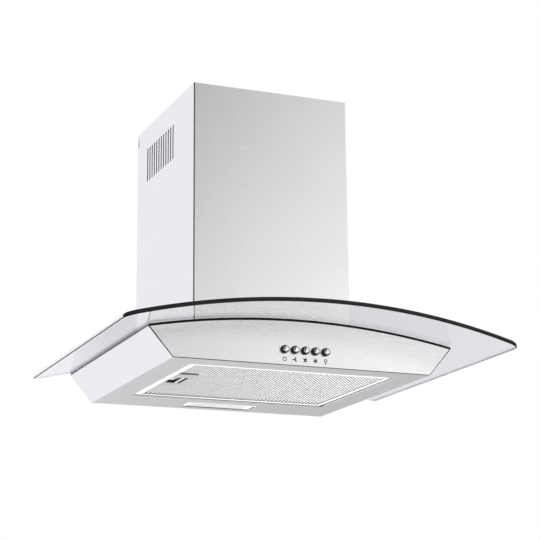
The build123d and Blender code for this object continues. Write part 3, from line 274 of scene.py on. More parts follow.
@dataclass(frozen=True)
class BrushedSteel:
    """Stainless sheet with fine straight brushing, and painted shade or a painted dark reflection on chosen
    faces.
    """

    name: str
    tint: Colour = (0.845, 0.845, 0.847)
    rough: float = 0.27
    lines: float = 2300.0
    stretch: float = 9.0
    detail: float = 4.0
    depth: float = 1.0
    swing: float = 0.033
    relief: Pair = (0.05, 0.00004)
    cloud: Pair = (9.0, 2.0)
    wear: float = 0.01
    ior: float = 1.45
    # Painted shade: which faces take it, its colour, and the slopes that choose them
    dark_faces: DarkFaces = DarkFaces.NONE
    dark_tint: Colour = (0.03, 0.03, 0.03)
    dark_facing: Pair = (0.4, 0.6)
    # Where the painted shade of the slot walls lies
    slot_facing: Pair = (0.3, 0.5)
    slot_sheet: Pair = (0.1262, 0.1268)
    slot_depth: float = 0.266
    # Slope, band and strength of the painted dark reflection along the left front fold
    fold_facing: Pair = (0.75, 0.9)
    fold_band: Pair = (-0.1263, -0.1256)
    fold_share: float = 0.85

    def make(self) -> bpy.types.Material:
        """Build the material.

        Returns:
            The finished material.
        """
        tree = ShaderTree(self.name, metallic=1.0, ior=self.ior)
        upright = tree.noise(1.0, self.detail, tree.place((self.stretch, self.stretch, self.lines)))
        level = tree.noise(1.0, self.detail, tree.place((self.stretch, self.lines, self.stretch)))
        brushing = tree.spread(tree.level_share(), upright, level, 0.0, 1.0)
        swing = self.swing * self.depth
        sheet = tree.blend(tree.spread(brushing, 0.0, 1.0), toned(self.tint, 1.0 - swing),
                           toned(self.tint, 1.0 + swing))
        # Mix in the painted shade and the painted dark reflection.
        if self.dark_faces is not DarkFaces.NONE:
            sheet = tree.blend(self.dark_share(tree), sheet, self.dark_tint)
        wear = tree.spread(tree.noise(*self.cloud), -self.wear, self.wear)
        rough = tree.math("ADD", tree.spread(brushing, self.rough - swing, self.rough + swing), wear)
        strength, height = self.relief
        return tree.surface(sheet, rough, brushing, (strength * self.depth, height))

    def dark_share(self, tree: ShaderTree) -> Socket:
        """Find where shade or a dark reflection is painted on the sheet.

        Args:
            tree: Material that is being built.

        Returns:
            1 where shade or a dark reflection is painted, and 0 elsewhere.
        """
        place, normal = tree.coords["Object"], tree.coords["Normal"]
        across = tree.size(normal, "X")
        # Painted shade on the sheared edges that look sideways.
        if self.dark_faces is DarkFaces.SIDE_EDGES:
            return tree.spread(across, 0.0, 1.0, *self.dark_facing)
        # Painted shade on the walls that look forwards or back.
        if self.dark_faces is DarkFaces.CROSS_WALLS:
            return tree.spread(tree.size(normal, "Y"), 0.0, 1.0, *self.dark_facing)
        # Painted shade on the slot walls, and a painted dark reflection in a band along the left front fold.
        behind = tree.math("LESS_THAN", tree.size(place, "Y"), self.slot_depth)
        walls = tree.math("MULTIPLY", tree.spread(across, 1.0, 0.0, *self.slot_facing), behind)
        sheet = tree.spread(tree.size(place, "X"), 0.0, 1.0, *self.slot_sheet)
        band = tree.spread(tree.part(place, "X"), self.fold_share, 0.0, *self.fold_band)
        front = tree.math("SUBTRACT", band, behind)
        fold = tree.math("MULTIPLY", front, tree.spread(across, 1.0, 0.0, *self.fold_facing))
        return tree.math("MAXIMUM", tree.math("MULTIPLY", walls, sheet), fold)


@dataclass(frozen=True)
class SpangledZinc:
    """Galvanised sheet with its crystal spangle."""

    name: str
    tint: Colour = (0.62, 0.63, 0.65)
    dark_share: float = 0.82
    lit_share: float = 1.1
    crystals: float = 110.0
    rough: Pair = (0.34, 0.52)
    grain: float = 700.0
    relief: Pair = (0.1, 0.0001)

    def make(self) -> bpy.types.Material:
        """Build the material.

        Returns:
            The finished material.
        """
        tree = ShaderTree(self.name, metallic=1.0)
        cells = tree.add("TexVoronoi", tree.coords["Object"])
        tree.feed(cells.inputs["Scale"], self.crystals)
        parts = tree.add("SeparateColor", cells.outputs["Color"]).outputs
        colour = tree.blend(parts["Red"], toned(self.tint, self.dark_share), toned(self.tint, self.lit_share))
        rough = tree.spread(parts["Green"], *self.rough, 0.0, 1.0)
        return tree.surface(colour, rough, tree.noise(self.grain), self.relief)


@dataclass(frozen=True)
class CloudySkin:
    """Plain surface whose colour, gloss and relief follow a cloudy pattern."""

    name: str
    tint: Colour
    rough: Pair
    # Colour of the upright faces, as painted shade on them; None leaves them plain
    wall: Colour | None = None
    grain: float = 160.0
    detail: float = 3.0
    stretch: Point = (1.0, 1.0, 1.0)
    span: Pair = (0.3, 0.7)
    skin: float = 0.0
    relief: Pair = (0.1, 0.00004)
    dark_share: float = 1.0
    lit_share: float = 1.0
    lit_lift: float = 0.0
    metallic: float = 0.0
    ior: float = 1.5
    specular: float = 0.5
    coat: Pair = (0.0, 0.03)

    def make(self) -> bpy.types.Material:
        """Build the material.

        Returns:
            The finished material.
        """
        weight, coat_rough = self.coat
        tree = ShaderTree(self.name, metallic=self.metallic, ior=self.ior, specular_ior_level=self.specular,
                          coat_weight=weight, coat_roughness=coat_rough)
        cloud = tree.noise(self.grain, self.detail, tree.place(self.stretch))
        colour = tree.blend(tree.spread(cloud, 0.0, 1.0, *self.span), toned(self.tint, self.dark_share),
                            toned(self.tint, self.lit_share, self.lit_lift))
        # Painted shade on the upright faces.
        if self.wall is not None:
            colour = tree.blend(tree.level_share(), self.wall, colour)
        height = tree.noise(self.skin) if self.skin else cloud
        return tree.surface(colour, tree.spread(cloud, *self.rough), height, self.relief)


@dataclass(frozen=True)
class PlatedMetal(CloudySkin):
    """Plated or cast metal with faint handling marks."""

    grain: float = 260.0
    detail: float = 4.0
    relief: Pair = (0.15, 0.00004)
    dark_share: float = 0.92
    metallic: float = 1.0


@dataclass(frozen=True)
class MouldedPlastic(CloudySkin):
    """Injection-moulded plastic with a fine spark-eroded skin."""

    rough: Pair = (0.41, 0.55)
    grain: float = 24.0
    skin: float = 2600.0
    relief: Pair = (0.25, 0.00008)
    lit_share: float = 1.12
    lit_lift: float = 0.006
    ior: float = 1.48


@dataclass(frozen=True)
class SoftRubber(CloudySkin):
    """Sealing rubber, dull and slightly dusty."""

    tint: Colour = (0.006, 0.006, 0.006)
    rough: Pair = (0.62, 0.82)
    grain: float = 420.0
    span: Pair = (0.45, 0.8)
    relief: Pair = (0.2, 0.0001)
    lit_lift: float = 0.008
    specular: float = 0.2


@dataclass(frozen=True)
class LacqueredMetal(CloudySkin):
    """Aluminium under a satin lacquer, with painted shade on its upright walls."""

    rough: Pair = (0.28, 0.42)
    detail: float = 4.0
    dark_share: float = 0.96
    metallic: float = 0.04
    coat: Pair = (0.3, 0.2)


@dataclass(frozen=True)
class StackedIron(CloudySkin):
    """Stack of thin iron sheets across the motor's axis."""

    tint: Colour = (0.30, 0.29, 0.28)
    rough: Pair = (0.4, 0.62)
    grain: float = 1.0
    detail: float = 1.0
    stretch: Point = (1600.0, 4.0, 4.0)
    relief: Pair = (0.5, 0.0002)
    dark_share: float = 0.55
    metallic: float = 1.0


@dataclass(frozen=True)
class SignInk(CloudySkin):
    """Dark pad-printed ink, slightly uneven."""

    rough: Pair = (0.45, 0.6)
    grain: float = 1500.0
    relief: Pair = (0.1, 0.00002)
    lit_lift: float = 0.015


@dataclass(frozen=True)
class ClearGlass:
    """Toughened clear glass with a faint smear, which lets lamps through."""

    name: str
    tint: Colour = (0.997, 0.997, 1.0)
    smeared: Colour = (0.985, 0.985, 0.99)
    smears: float = 14.0
    span: Pair = (0.4, 0.8)
    rough: float = 0.006
    ior: float = 1.22

    def make(self) -> bpy.types.Material:
        """Build the material.

        Returns:
            The finished material.
        """
        tree = ShaderTree(self.name, transmission_weight=1.0, ior=self.ior)
        smear = tree.noise(self.smears)
        colour = tree.blend(tree.spread(smear, 0.0, 1.0, *self.span), self.tint, self.smeared)
        clear = tree.add("BsdfTransparent", self.tint)
        tree.overlay(tree.add("LightPath").outputs["Is Shadow Ray"], clear)
        return tree.surface(colour, tree.spread(smear, 0.0, self.rough, *self.span))


@dataclass(frozen=True)
class GroundEdge:
    """Ground edge of the arched glass: a band between its two arrises, in flat colours that paint the light
    and shade seen in the edge.
    """

    name: str
    band: Colour
    arris: Colour
    # Glow of the edge, as painted light piped through the pane
    glow: float = 0.0
    axis_height: float = -1.1315
    middle_radius: float = 1.203
    band_half: float = 0.0006
    arris_start: float = 0.0018
    grinding: Point = (30.0, 30.0, 900.0)
    rough: Pair = (0.28, 0.42)
    relief: Pair = (0.1, 0.0001)
    specular: float = 0.1

    def make(self) -> bpy.types.Material:
        """Build the material.

        Returns:
            The finished material.
        """
        tree = ShaderTree(self.name, specular_ior_level=self.specular, emission_color=self.band,
                          emission_strength=self.glow)
        from_axis = (0.0, 0.0, -self.axis_height)
        flat = tree.vector("MULTIPLY_ADD", tree.coords["Object"], (1.0, 0.0, 1.0), from_axis)
        radius = tree.vector("LENGTH", flat["Vector"])["Value"]
        off = tree.math("ABSOLUTE", tree.math("SUBTRACT", radius, self.middle_radius))
        share = tree.spread(off, 0.0, 1.0, self.band_half, self.arris_start)
        colour = tree.blend(share, self.band, self.arris)
        grinding = tree.noise(1.0, vector=tree.place(self.grinding))
        return tree.surface(colour, tree.spread(grinding, *self.rough), grinding, self.relief)


@dataclass(frozen=True)
class FrostedLens:
    """Opal lamp cover with fine cross ribs on its inner face."""

    name: str
    tint: Colour = (0.70, 0.70, 0.70)
    dark_share: float = 0.95
    ribs: float = 310.0
    cloud: float = 60.0
    rough: Pair = (0.28, 0.42)
    relief: Pair = (0.2, 0.0002)
    ior: float = 1.49
    coat: Pair = (0.25, 0.1)

    def make(self) -> bpy.types.Material:
        """Build the material.

        Returns:
            The finished material.
        """
        weight, coat_rough = self.coat
        tree = ShaderTree(self.name, ior=self.ior, coat_weight=weight, coat_roughness=coat_rough)
        ribs = tree.add("TexWave", tree.coords["Object"], self.ribs, bands_direction="X").outputs["Fac"]
        colour = tree.blend(ribs, toned(self.tint, self.dark_share), self.tint)
        return tree.surface(colour, tree.spread(tree.noise(self.cloud), *self.rough), ribs, self.relief)


@dataclass(frozen=True)
class PressedMesh:
    """Pale pressed metal with a staggered pattern whose hollows are dark as painted shade, and painted shade
    on its walls where it stands proud.
    """

    name: str
    tint: Colour
    # Colour of the hollows, as painted shade in them
    hollow: Colour
    # Colour of the upright walls, as painted shade
    wall: Colour
    pitch_x: float = 0.0054
    pitch_y: float = 0.00713
    hollow_span: Pair = (0.1, 0.25)
    haze: float = 300.0
    rough: Pair = (0.32, 0.46)
    relief: Pair = (0.2, 0.00005)
    ior: float = 1.48

    def make(self) -> bpy.types.Material:
        """Build the material.

        Returns:
            The finished material.
        """
        tree = ShaderTree(self.name, ior=self.ior)
        grid = tree.place((2 * pi / self.pitch_x, 2 * pi / self.pitch_y, 1.0))
        across = tree.math("COSINE", tree.part(grid, "X"))
        along = tree.math("COSINE", tree.part(grid, "Y"))
        hollows = tree.spread(tree.math("MULTIPLY", across, along), 0.0, 1.0, *self.hollow_span)
        # Painted shade on the upright walls and in the hollows of the pattern.
        colour = tree.blend(tree.level_share(), self.wall, tree.blend(hollows, self.tint, self.hollow))
        haze = tree.noise(self.haze)
        return tree.surface(colour, tree.spread(haze, *self.rough), haze, self.relief)


class Finish(Enum):
    """Every finish on the hood, by the slot or the surface that takes it."""

    SHEET = BrushedSteel("brushed_sheet")
    # Chimney sheet with painted shade on its slot walls and a painted dark reflection along its left front
    # fold.
    SLOTTED = BrushedSteel("brushed_slotted", dark_faces=DarkFaces.SLOTS_AND_FOLD,
                           dark_tint=(0.05, 0.05, 0.05))
    # The fascia's tint is darker than the sheet's, as painted shade on the front, and its sideways edges
    # carry painted shade.
    FASCIA = BrushedSteel("brushed_fascia", (0.805, 0.805, 0.807), depth=0.6, dark_faces=DarkFaces.SIDE_EDGES)
    # The shell's tint is lighter than the sheet's, as painted light on the underside, and the walls of its
    # openings carry painted shade.
    SHELL = BrushedSteel("brushed_shell", (0.86, 0.86, 0.865), depth=0.4, dark_faces=DarkFaces.CROSS_WALLS,
                         dark_tint=(0.22, 0.22, 0.22))
    # Dark grey steel for the strip along the fascia's foot, as a painted shade line.
    FOOT_SHADE = BrushedSteel("brushed_foot_shade", (0.16, 0.16, 0.16), 0.4)
    GALVANISED = SpangledZinc("galvanised_sheet")
    ZINC = PlatedMetal("zinc_plate", (0.66, 0.66, 0.68), (0.224, 0.35))
    CHROME = PlatedMetal("chrome_plate", (0.86, 0.86, 0.88), (0.056, 0.0875), grain=90.0)
    # Dark chrome on the buttons' sides and rims, as a painted dark reflection.
    CHROME_DARK_REFLECTION = PlatedMetal("chrome_dark_reflection", (0.03, 0.03, 0.032), (0.16, 0.25), grain=90.0)
    CAST = PlatedMetal("cast_aluminium", (0.52, 0.53, 0.55), (0.4, 0.625), grain=900.0, relief=(0.15, 0.0002))
    # Pale lacquer with painted shade on its upright walls.
    FILTER_METAL = LacqueredMetal("filter_lacquer", (0.97, 0.97, 0.97), wall=(0.2, 0.2, 0.2))
    # Dark, as painted shade: the core inside the filter, and the hole walls and strips of the face sheet that
    # lie in shade.
    FILTER_SHADE = LacqueredMetal("filter_shade_lacquer", (0.10, 0.10, 0.10), (0.36, 0.54), (0.10, 0.10, 0.10))
    # Pale lacquer whose side walls are painted black as shade.
    LATCH_SLIDER = LacqueredMetal("latch_slider_lacquer", (0.95, 0.95, 0.95), (0.24, 0.36),
                                  (0.03, 0.03, 0.03))
    # Latch case with painted shade in the hollows of its pattern and on its walls.
    LATCH_CASE = PressedMesh("latch_case_plate", (0.62, 0.62, 0.62), (0.05, 0.05, 0.05), (0.3, 0.3, 0.3))
    IRON = StackedIron("stacked_iron")
    RUBBER = SoftRubber("seal_rubber")
    GREY_RUBBER = SoftRubber("grey_rubber", (0.2, 0.2, 0.2))
    GLASS = ClearGlass("pane_glass")
    # The pane's edges paint how light shows in the glass: a dark front edge as painted shade, pale sides as
    # painted light through the pane, glowing on the left-facing sides, and a dark painted shade line under
    # the sides.
    FRONT_EDGE = GroundEdge("glass_front_edge", (0.035, 0.035, 0.035), (0.002, 0.002, 0.002))
    SIDE_EDGE = GroundEdge("glass_side_edge", (0.93, 0.93, 0.95), (0.9, 0.9, 0.92))
    LIT_EDGE = GroundEdge("glass_lit_edge", (0.93, 0.93, 0.95), (0.9, 0.9, 0.92), 0.3)
    SIDE_LINE = GroundEdge("glass_side_line", (0.02, 0.02, 0.02), (0.02, 0.02, 0.02))
    BLACK_PLASTIC = MouldedPlastic("moulded_black", (0.03, 0.03, 0.033))
    GREY_PLASTIC = MouldedPlastic("moulded_grey", (0.3, 0.31, 0.33))
    WHITE_PLASTIC = MouldedPlastic("moulded_white", (0.78, 0.78, 0.76), (0.33, 0.47))
    LENS_RIM = MouldedPlastic("lamp_rim_plastic", (0.86, 0.86, 0.86), (0.27, 0.41))
    LENS = FrostedLens("lamp_cover")
    BOARD = MouldedPlastic("lamp_board", (0.8, 0.82, 0.79), (0.28, 0.42), skin=1200.0)
    LED_RESIN = MouldedPlastic("led_resin", (0.85, 0.68, 0.16), (0.13, 0.27), skin=900.0)
    INK = SignInk("sign_ink", (0.008, 0.008, 0.009))

    def material(self) -> bpy.types.Material:
        """The finish's material, built at its first use."""
        return MADE[self.name] if self.name in MADE else MADE.setdefault(self.name, self.value.make())


def dress(finish: Finish, *nodes: str) -> None:
    """Give CAD nodes a finish.

    Args:
        finish: Finish to give.
        nodes: Names of the nodes.
    """
    for name in nodes:
        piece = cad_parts[name]
        if not piece.material_slots:
            piece.data.materials.append(None)
        for slot in piece.material_slots:
            slot.material = finish.material()
        LOG.info("dressed %s with %s", name, finish.name)


def show(name: str, data: bpy.types.ID) -> bpy.types.Object:
    """Put a mesh, a lamp or a camera into the scene.

    Args:
        name: Name of the object.
        data: What the object shows.

    Returns:
        The new object.
    """
    thing = bpy.data.objects.new(name, data)
    bpy.context.scene.collection.objects.link(thing)
    return thing


def settle(name: str, mesh: Mesh, finishes: list[Finish], body: str,
           crease: float = 32.0) -> bpy.types.Object:
    """Turn a finished bmesh into a piece that rides on a body.

    Args:
        name: Name of the piece.
        mesh: The shape, in place; it is freed here.
        finishes: Finishes, in the order of the faces' material numbers.
        body: Body that carries the piece.
        crease: Angle in degrees past which an edge stays sharp.

    Returns:
        The new object.
    """
    bmesh.ops.remove_doubles(mesh, verts=mesh.verts[:], dist=MERGE)
    bmesh.ops.recalc_face_normals(mesh, faces=mesh.faces[:])
    data = bpy.data.meshes.new(name)
    mesh.to_mesh(data)
    mesh.free()
    for finish in finishes:
        data.materials.append(finish.material())
    data.shade_smooth()
    data.set_sharp_from_angle(angle=radians(crease))
    piece = show(name, data)
    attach(piece, body)
    LOG.info("built %s on %s with %d faces", name, body, len(data.polygons))
    return piece


def slice_by(mesh: Mesh, point: Vector | Point, normal: Point, faces: list[Face] | None = None) -> None:
    """Cut faces along a plane without removing anything.

    Args:
        mesh: Shape to cut.
        point: A point of the plane.
        normal: Direction square to the plane.
        faces: Faces to cut, or None for all of them.
    """
    chosen = mesh.faces[:] if faces is None else faces
    geometry = list(dict.fromkeys(item for face in chosen for item in (face, *face.edges, *face.verts)))
    bmesh.ops.bisect_plane(mesh, geom=geometry, plane_co=point, plane_no=normal)


def add_block(mesh: Mesh, size: Point, middle: Vector, ease: float = 0.0, turn: Matrix | None = None,
              number: int = 0) -> None:
    """Add a block to a shape.

    Args:
        mesh: Shape that takes the block.
        size: Its three lengths.
        middle: Where its middle goes.
        ease: Width of its eased edges.
        turn: Turn that it is given in place.
        number: Number of its finish.
    """
    made = bmesh.ops.create_cube(mesh, size=1.0, matrix=Matrix.LocRotScale(middle, turn, size))["verts"]
    for side in dict.fromkeys(face for vert in made for face in vert.link_faces):
        side.material_index = number
    if ease:
        edges = list(dict.fromkeys(edge for vert in made for edge in vert.link_edges))
        bmesh.ops.bevel(mesh, geom=edges, offset=ease, affect="EDGES", segments=EASE_STEPS, profile=0.5,
                        material=-1)


def thicken(mesh: Mesh, rise: float) -> None:
    """Give a flat shape its thickness upwards.

    Args:
        mesh: Flat shape.
        rise: Its thickness.
    """
    raised = bmesh.ops.extrude_face_region(mesh, geom=mesh.faces[:], use_keep_orig=True)["geom"]
    lifted = [item for item in raised if isinstance(item, bmesh.types.BMVert)]
    bmesh.ops.translate(mesh, vec=(0.0, 0.0, rise), verts=lifted)


def lathe(mesh: Mesh, foot: Vector, axis: Point, profile: list[Pair], steps: int) -> None:
    """Turn a profile about an axis that is square to X.

    Args:
        mesh: Shape that takes the turned piece.
        foot: Point of the axis that the profile is measured from.
        axis: Direction of the axis.
        profile: Radius and reach along the axis of each point, in order.
        steps: Steps of the full turn.
    """
    verts = [mesh.verts.new(foot + radius * Vector(ACROSS) + reach * Vector(axis))
             for radius, reach in profile]
    edges = [mesh.edges.new(pair) for pair in zip(verts, verts[1:])]
    bmesh.ops.spin(mesh, geom=verts + edges, cent=foot, axis=axis, angle=2 * pi, steps=steps, use_merge=True)


def over(face: Face, low: Vector, high: Vector, reach: float = 0.0) -> bool:
    """Whether a face's middle lies over a rectangle in plan, grown by some reach.

    Args:
        face: Face to test.
        low: Lowest corner.
        high: Highest corner.
        reach: How far the rectangle is grown.

    Returns:
        True if the middle lies over it.
    """
    spot = face.calc_center_median()
    return low.x - reach < spot.x < high.x + reach and low.y - reach < spot.y < high.y + reach


@dataclass(frozen=True)
class SoftLamp:
    """Square soft lamp of the studio."""

    name: str
    place: Point
    aim: Point
    size: float
    power: float

    def hang(self) -> None:
        """Hang the lamp, out of sight of the camera and the glass."""
        data = bpy.data.lights.new(self.name, "AREA")
        data.size = self.size
        data.energy = self.power
        lamp = show(self.name, data)
        lamp.location = self.place
        lamp.rotation_euler = (Vector(self.aim) - Vector(self.place)).to_track_quat("-Z", "Y").to_euler()
        lamp.visible_camera = False
        lamp.visible_transmission = False


@dataclass
class StudioStage:
    """White studio: floor, lamps, surroundings and the camera."""

    lamps: tuple[SoftLamp, ...] = (SoftLamp("low_lamp", (0.45, -0.35, -0.9), (0.45, -0.35, 0.0), 0.6, 12.0),
                                   SoftLamp("top_lamp", (1.2, 0.5, 2.3), (0.0, -0.2, 0.1), 1.6, 9.0))
    floor_level: float = -0.95
    floor_reach: float = 14.0
    floor_steps: int = 96
    floor_white: Colour = (0.93, 0.93, 0.93)
    floor_cloud: float = 3.0
    floor_dim: float = 0.01
    floor_rough: float = 0.8
    floor_specular: float = 0.2
    floor_left: float = -0.6
    floor_right: float = 2.4
    glow_left: Colour = (0.985, 0.977, 1.02)
    glow_right: Colour = (0.41, 0.41, 0.41)
    mat: Colour = (0.03, 0.03, 0.03)
    mat_middle: Pair = (-0.4, -0.9)
    mat_inner: float = 0.9
    mat_outer: float = 1.4
    white: Colour = (1.0, 1.0, 1.0)
    room: Colour = (0.95, 0.95, 0.95)
    room_left: Colour = (0.985, 0.975, 1.015)
    left_direction: Point = (-0.37, 0.90, 0.25)
    left_fade: Pair = (0.1, 0.8)
    window: Colour = (1.5, 1.5, 1.5)
    window_direction: Point = (0.40, -0.92, 0.0)
    window_fade: Pair = (0.92, 0.985)
    behind: Colour = (0.795, 0.787, 0.826)
    behind_shade: Colour = (0.56, 0.552, 0.585)
    shade_direction: Point = (0.2904, 0.9320, 0.2168)
    shade_fade: Pair = (0.9994, 0.99999)
    back_fade: Pair = (-0.1, 0.1)
    card: Colour = (0.05, 0.05, 0.05)
    card_direction: Point = (-0.60, -0.62, 0.50)
    card_fade: Pair = (0.40, 0.64)
    card_heart: Colour = (0.5, 0.5, 0.5)
    heart_fade: Pair = (0.70, 0.86)
    eye: Point = (-0.9552, -2.5780, -0.4636)
    yaw: float = 22.44
    pitch: float = 14.29
    roll: float = -0.44
    lens: float = 112.75
    sensor: float = 36.0
    sight: float = 60.0

    def build(self) -> None:
        """Set up the whole stage."""
        bpy.context.scene.view_settings.view_transform = "Standard"
        self.lay_floor()
        self.light_room()
        for lamp in self.lamps:
            lamp.hang()
        self.point_camera()

    def lay_floor(self) -> None:
        """Lay a pale floor that keeps the hood's shadow."""
        mesh = bmesh.new()
        place = Matrix.Translation((0.0, 0.0, self.floor_level))
        bmesh.ops.create_circle(mesh, cap_ends=True, segments=self.floor_steps, radius=self.floor_reach,
                                matrix=place)
        data = bpy.data.meshes.new("studio_floor")
        mesh.to_mesh(data)
        mesh.free()
        data.materials.append(self.paint_floor())
        show("studio_floor", data)

    def paint_floor(self) -> bpy.types.Material:
        """Paint the floor, with a glow of its own in metal and glass and a dark mat in metal.

        Returns:
            The floor's material.
        """
        tree = ShaderTree("studio_floor_white", specular_ior_level=self.floor_specular)
        place = tree.coords["Object"]
        rays = tree.add("LightPath").outputs
        dim = toned(self.floor_white, 1.0, -self.floor_dim)
        colour = tree.blend(tree.noise(self.floor_cloud), self.floor_white, dim)
        fade = tree.spread(tree.part(place, "X"), 0.0, 1.0, self.floor_left, self.floor_right)
        away = tree.vector("DISTANCE", place, (*self.mat_middle, self.floor_level))["Value"]
        near = tree.spread(away, 1.0, 0.0, self.mat_inner, self.mat_outer)
        matted = tree.math("MULTIPLY", near, rays["Is Glossy Ray"])
        glow = tree.blend(matted, tree.blend(fade, self.glow_left, self.glow_right), self.mat)
        mirrored = tree.math("MAXIMUM", rays["Is Glossy Ray"], rays["Is Transmission Ray"])
        tree.overlay(mirrored, tree.add("Emission", glow))
        return tree.surface(colour, self.floor_rough)

    def light_room(self) -> None:
        """Surround the hood with white, broken by one dark card to the left of the camera."""
        world = bpy.data.worlds.new("studio_room")
        bpy.context.scene.world = world
        world.use_nodes = True
        room = NodeGraph(world.node_tree)
        source = room.add("TexCoord").outputs["Generated"]
        rays = room.add("LightPath").outputs

        def facing(direction: Point, fade: Pair) -> Socket:
            """0 away from a direction and 1 towards it."""
            dot = room.vector("DOT_PRODUCT", source, Vector(direction).normalized())["Value"]
            return room.spread(dot, 0.0, 1.0, *fade)

        walls = room.blend(facing(self.left_direction, self.left_fade), self.room, self.room_left)
        glazed = room.blend(facing(self.window_direction, self.window_fade), walls, self.window)
        card = room.blend(facing(self.card_direction, self.heart_fade), self.card, self.card_heart)
        hung = room.blend(facing(self.card_direction, self.card_fade), glazed, card)
        behind = room.blend(facing(self.shade_direction, self.shade_fade), self.behind, self.behind_shade)
        backwards = room.math("MULTIPLY", rays["Is Transmission Ray"], facing(INWARDS, self.back_fade))
        through = room.blend(backwards, hung, behind)
        seen = room.blend(rays["Is Camera Ray"], through, self.white)
        room.feed(room.nodes["Background"].inputs["Color"], seen)

    def point_camera(self) -> None:
        """Set the camera where the picture was taken from."""
        yaw, pitch, roll = radians(self.yaw), radians(self.pitch), radians(self.roll)
        ahead = Vector((sin(yaw) * cos(pitch), cos(yaw) * cos(pitch), sin(pitch)))
        right = Vector((cos(yaw), -sin(yaw), 0.0))
        above = right.cross(ahead)
        side = cos(roll) * right + sin(roll) * above
        top = -sin(roll) * right + cos(roll) * above
        data = bpy.data.cameras.new("studio_camera")
        data.lens = self.lens
        data.sensor_width = self.sensor
        data.clip_end = self.sight
        camera = show("studio_camera", data)
        camera.matrix_world = Matrix.Translation(self.eye) @ Matrix((side, top, -ahead)).transposed().to_4x4()
        bpy.context.scene.camera = camera


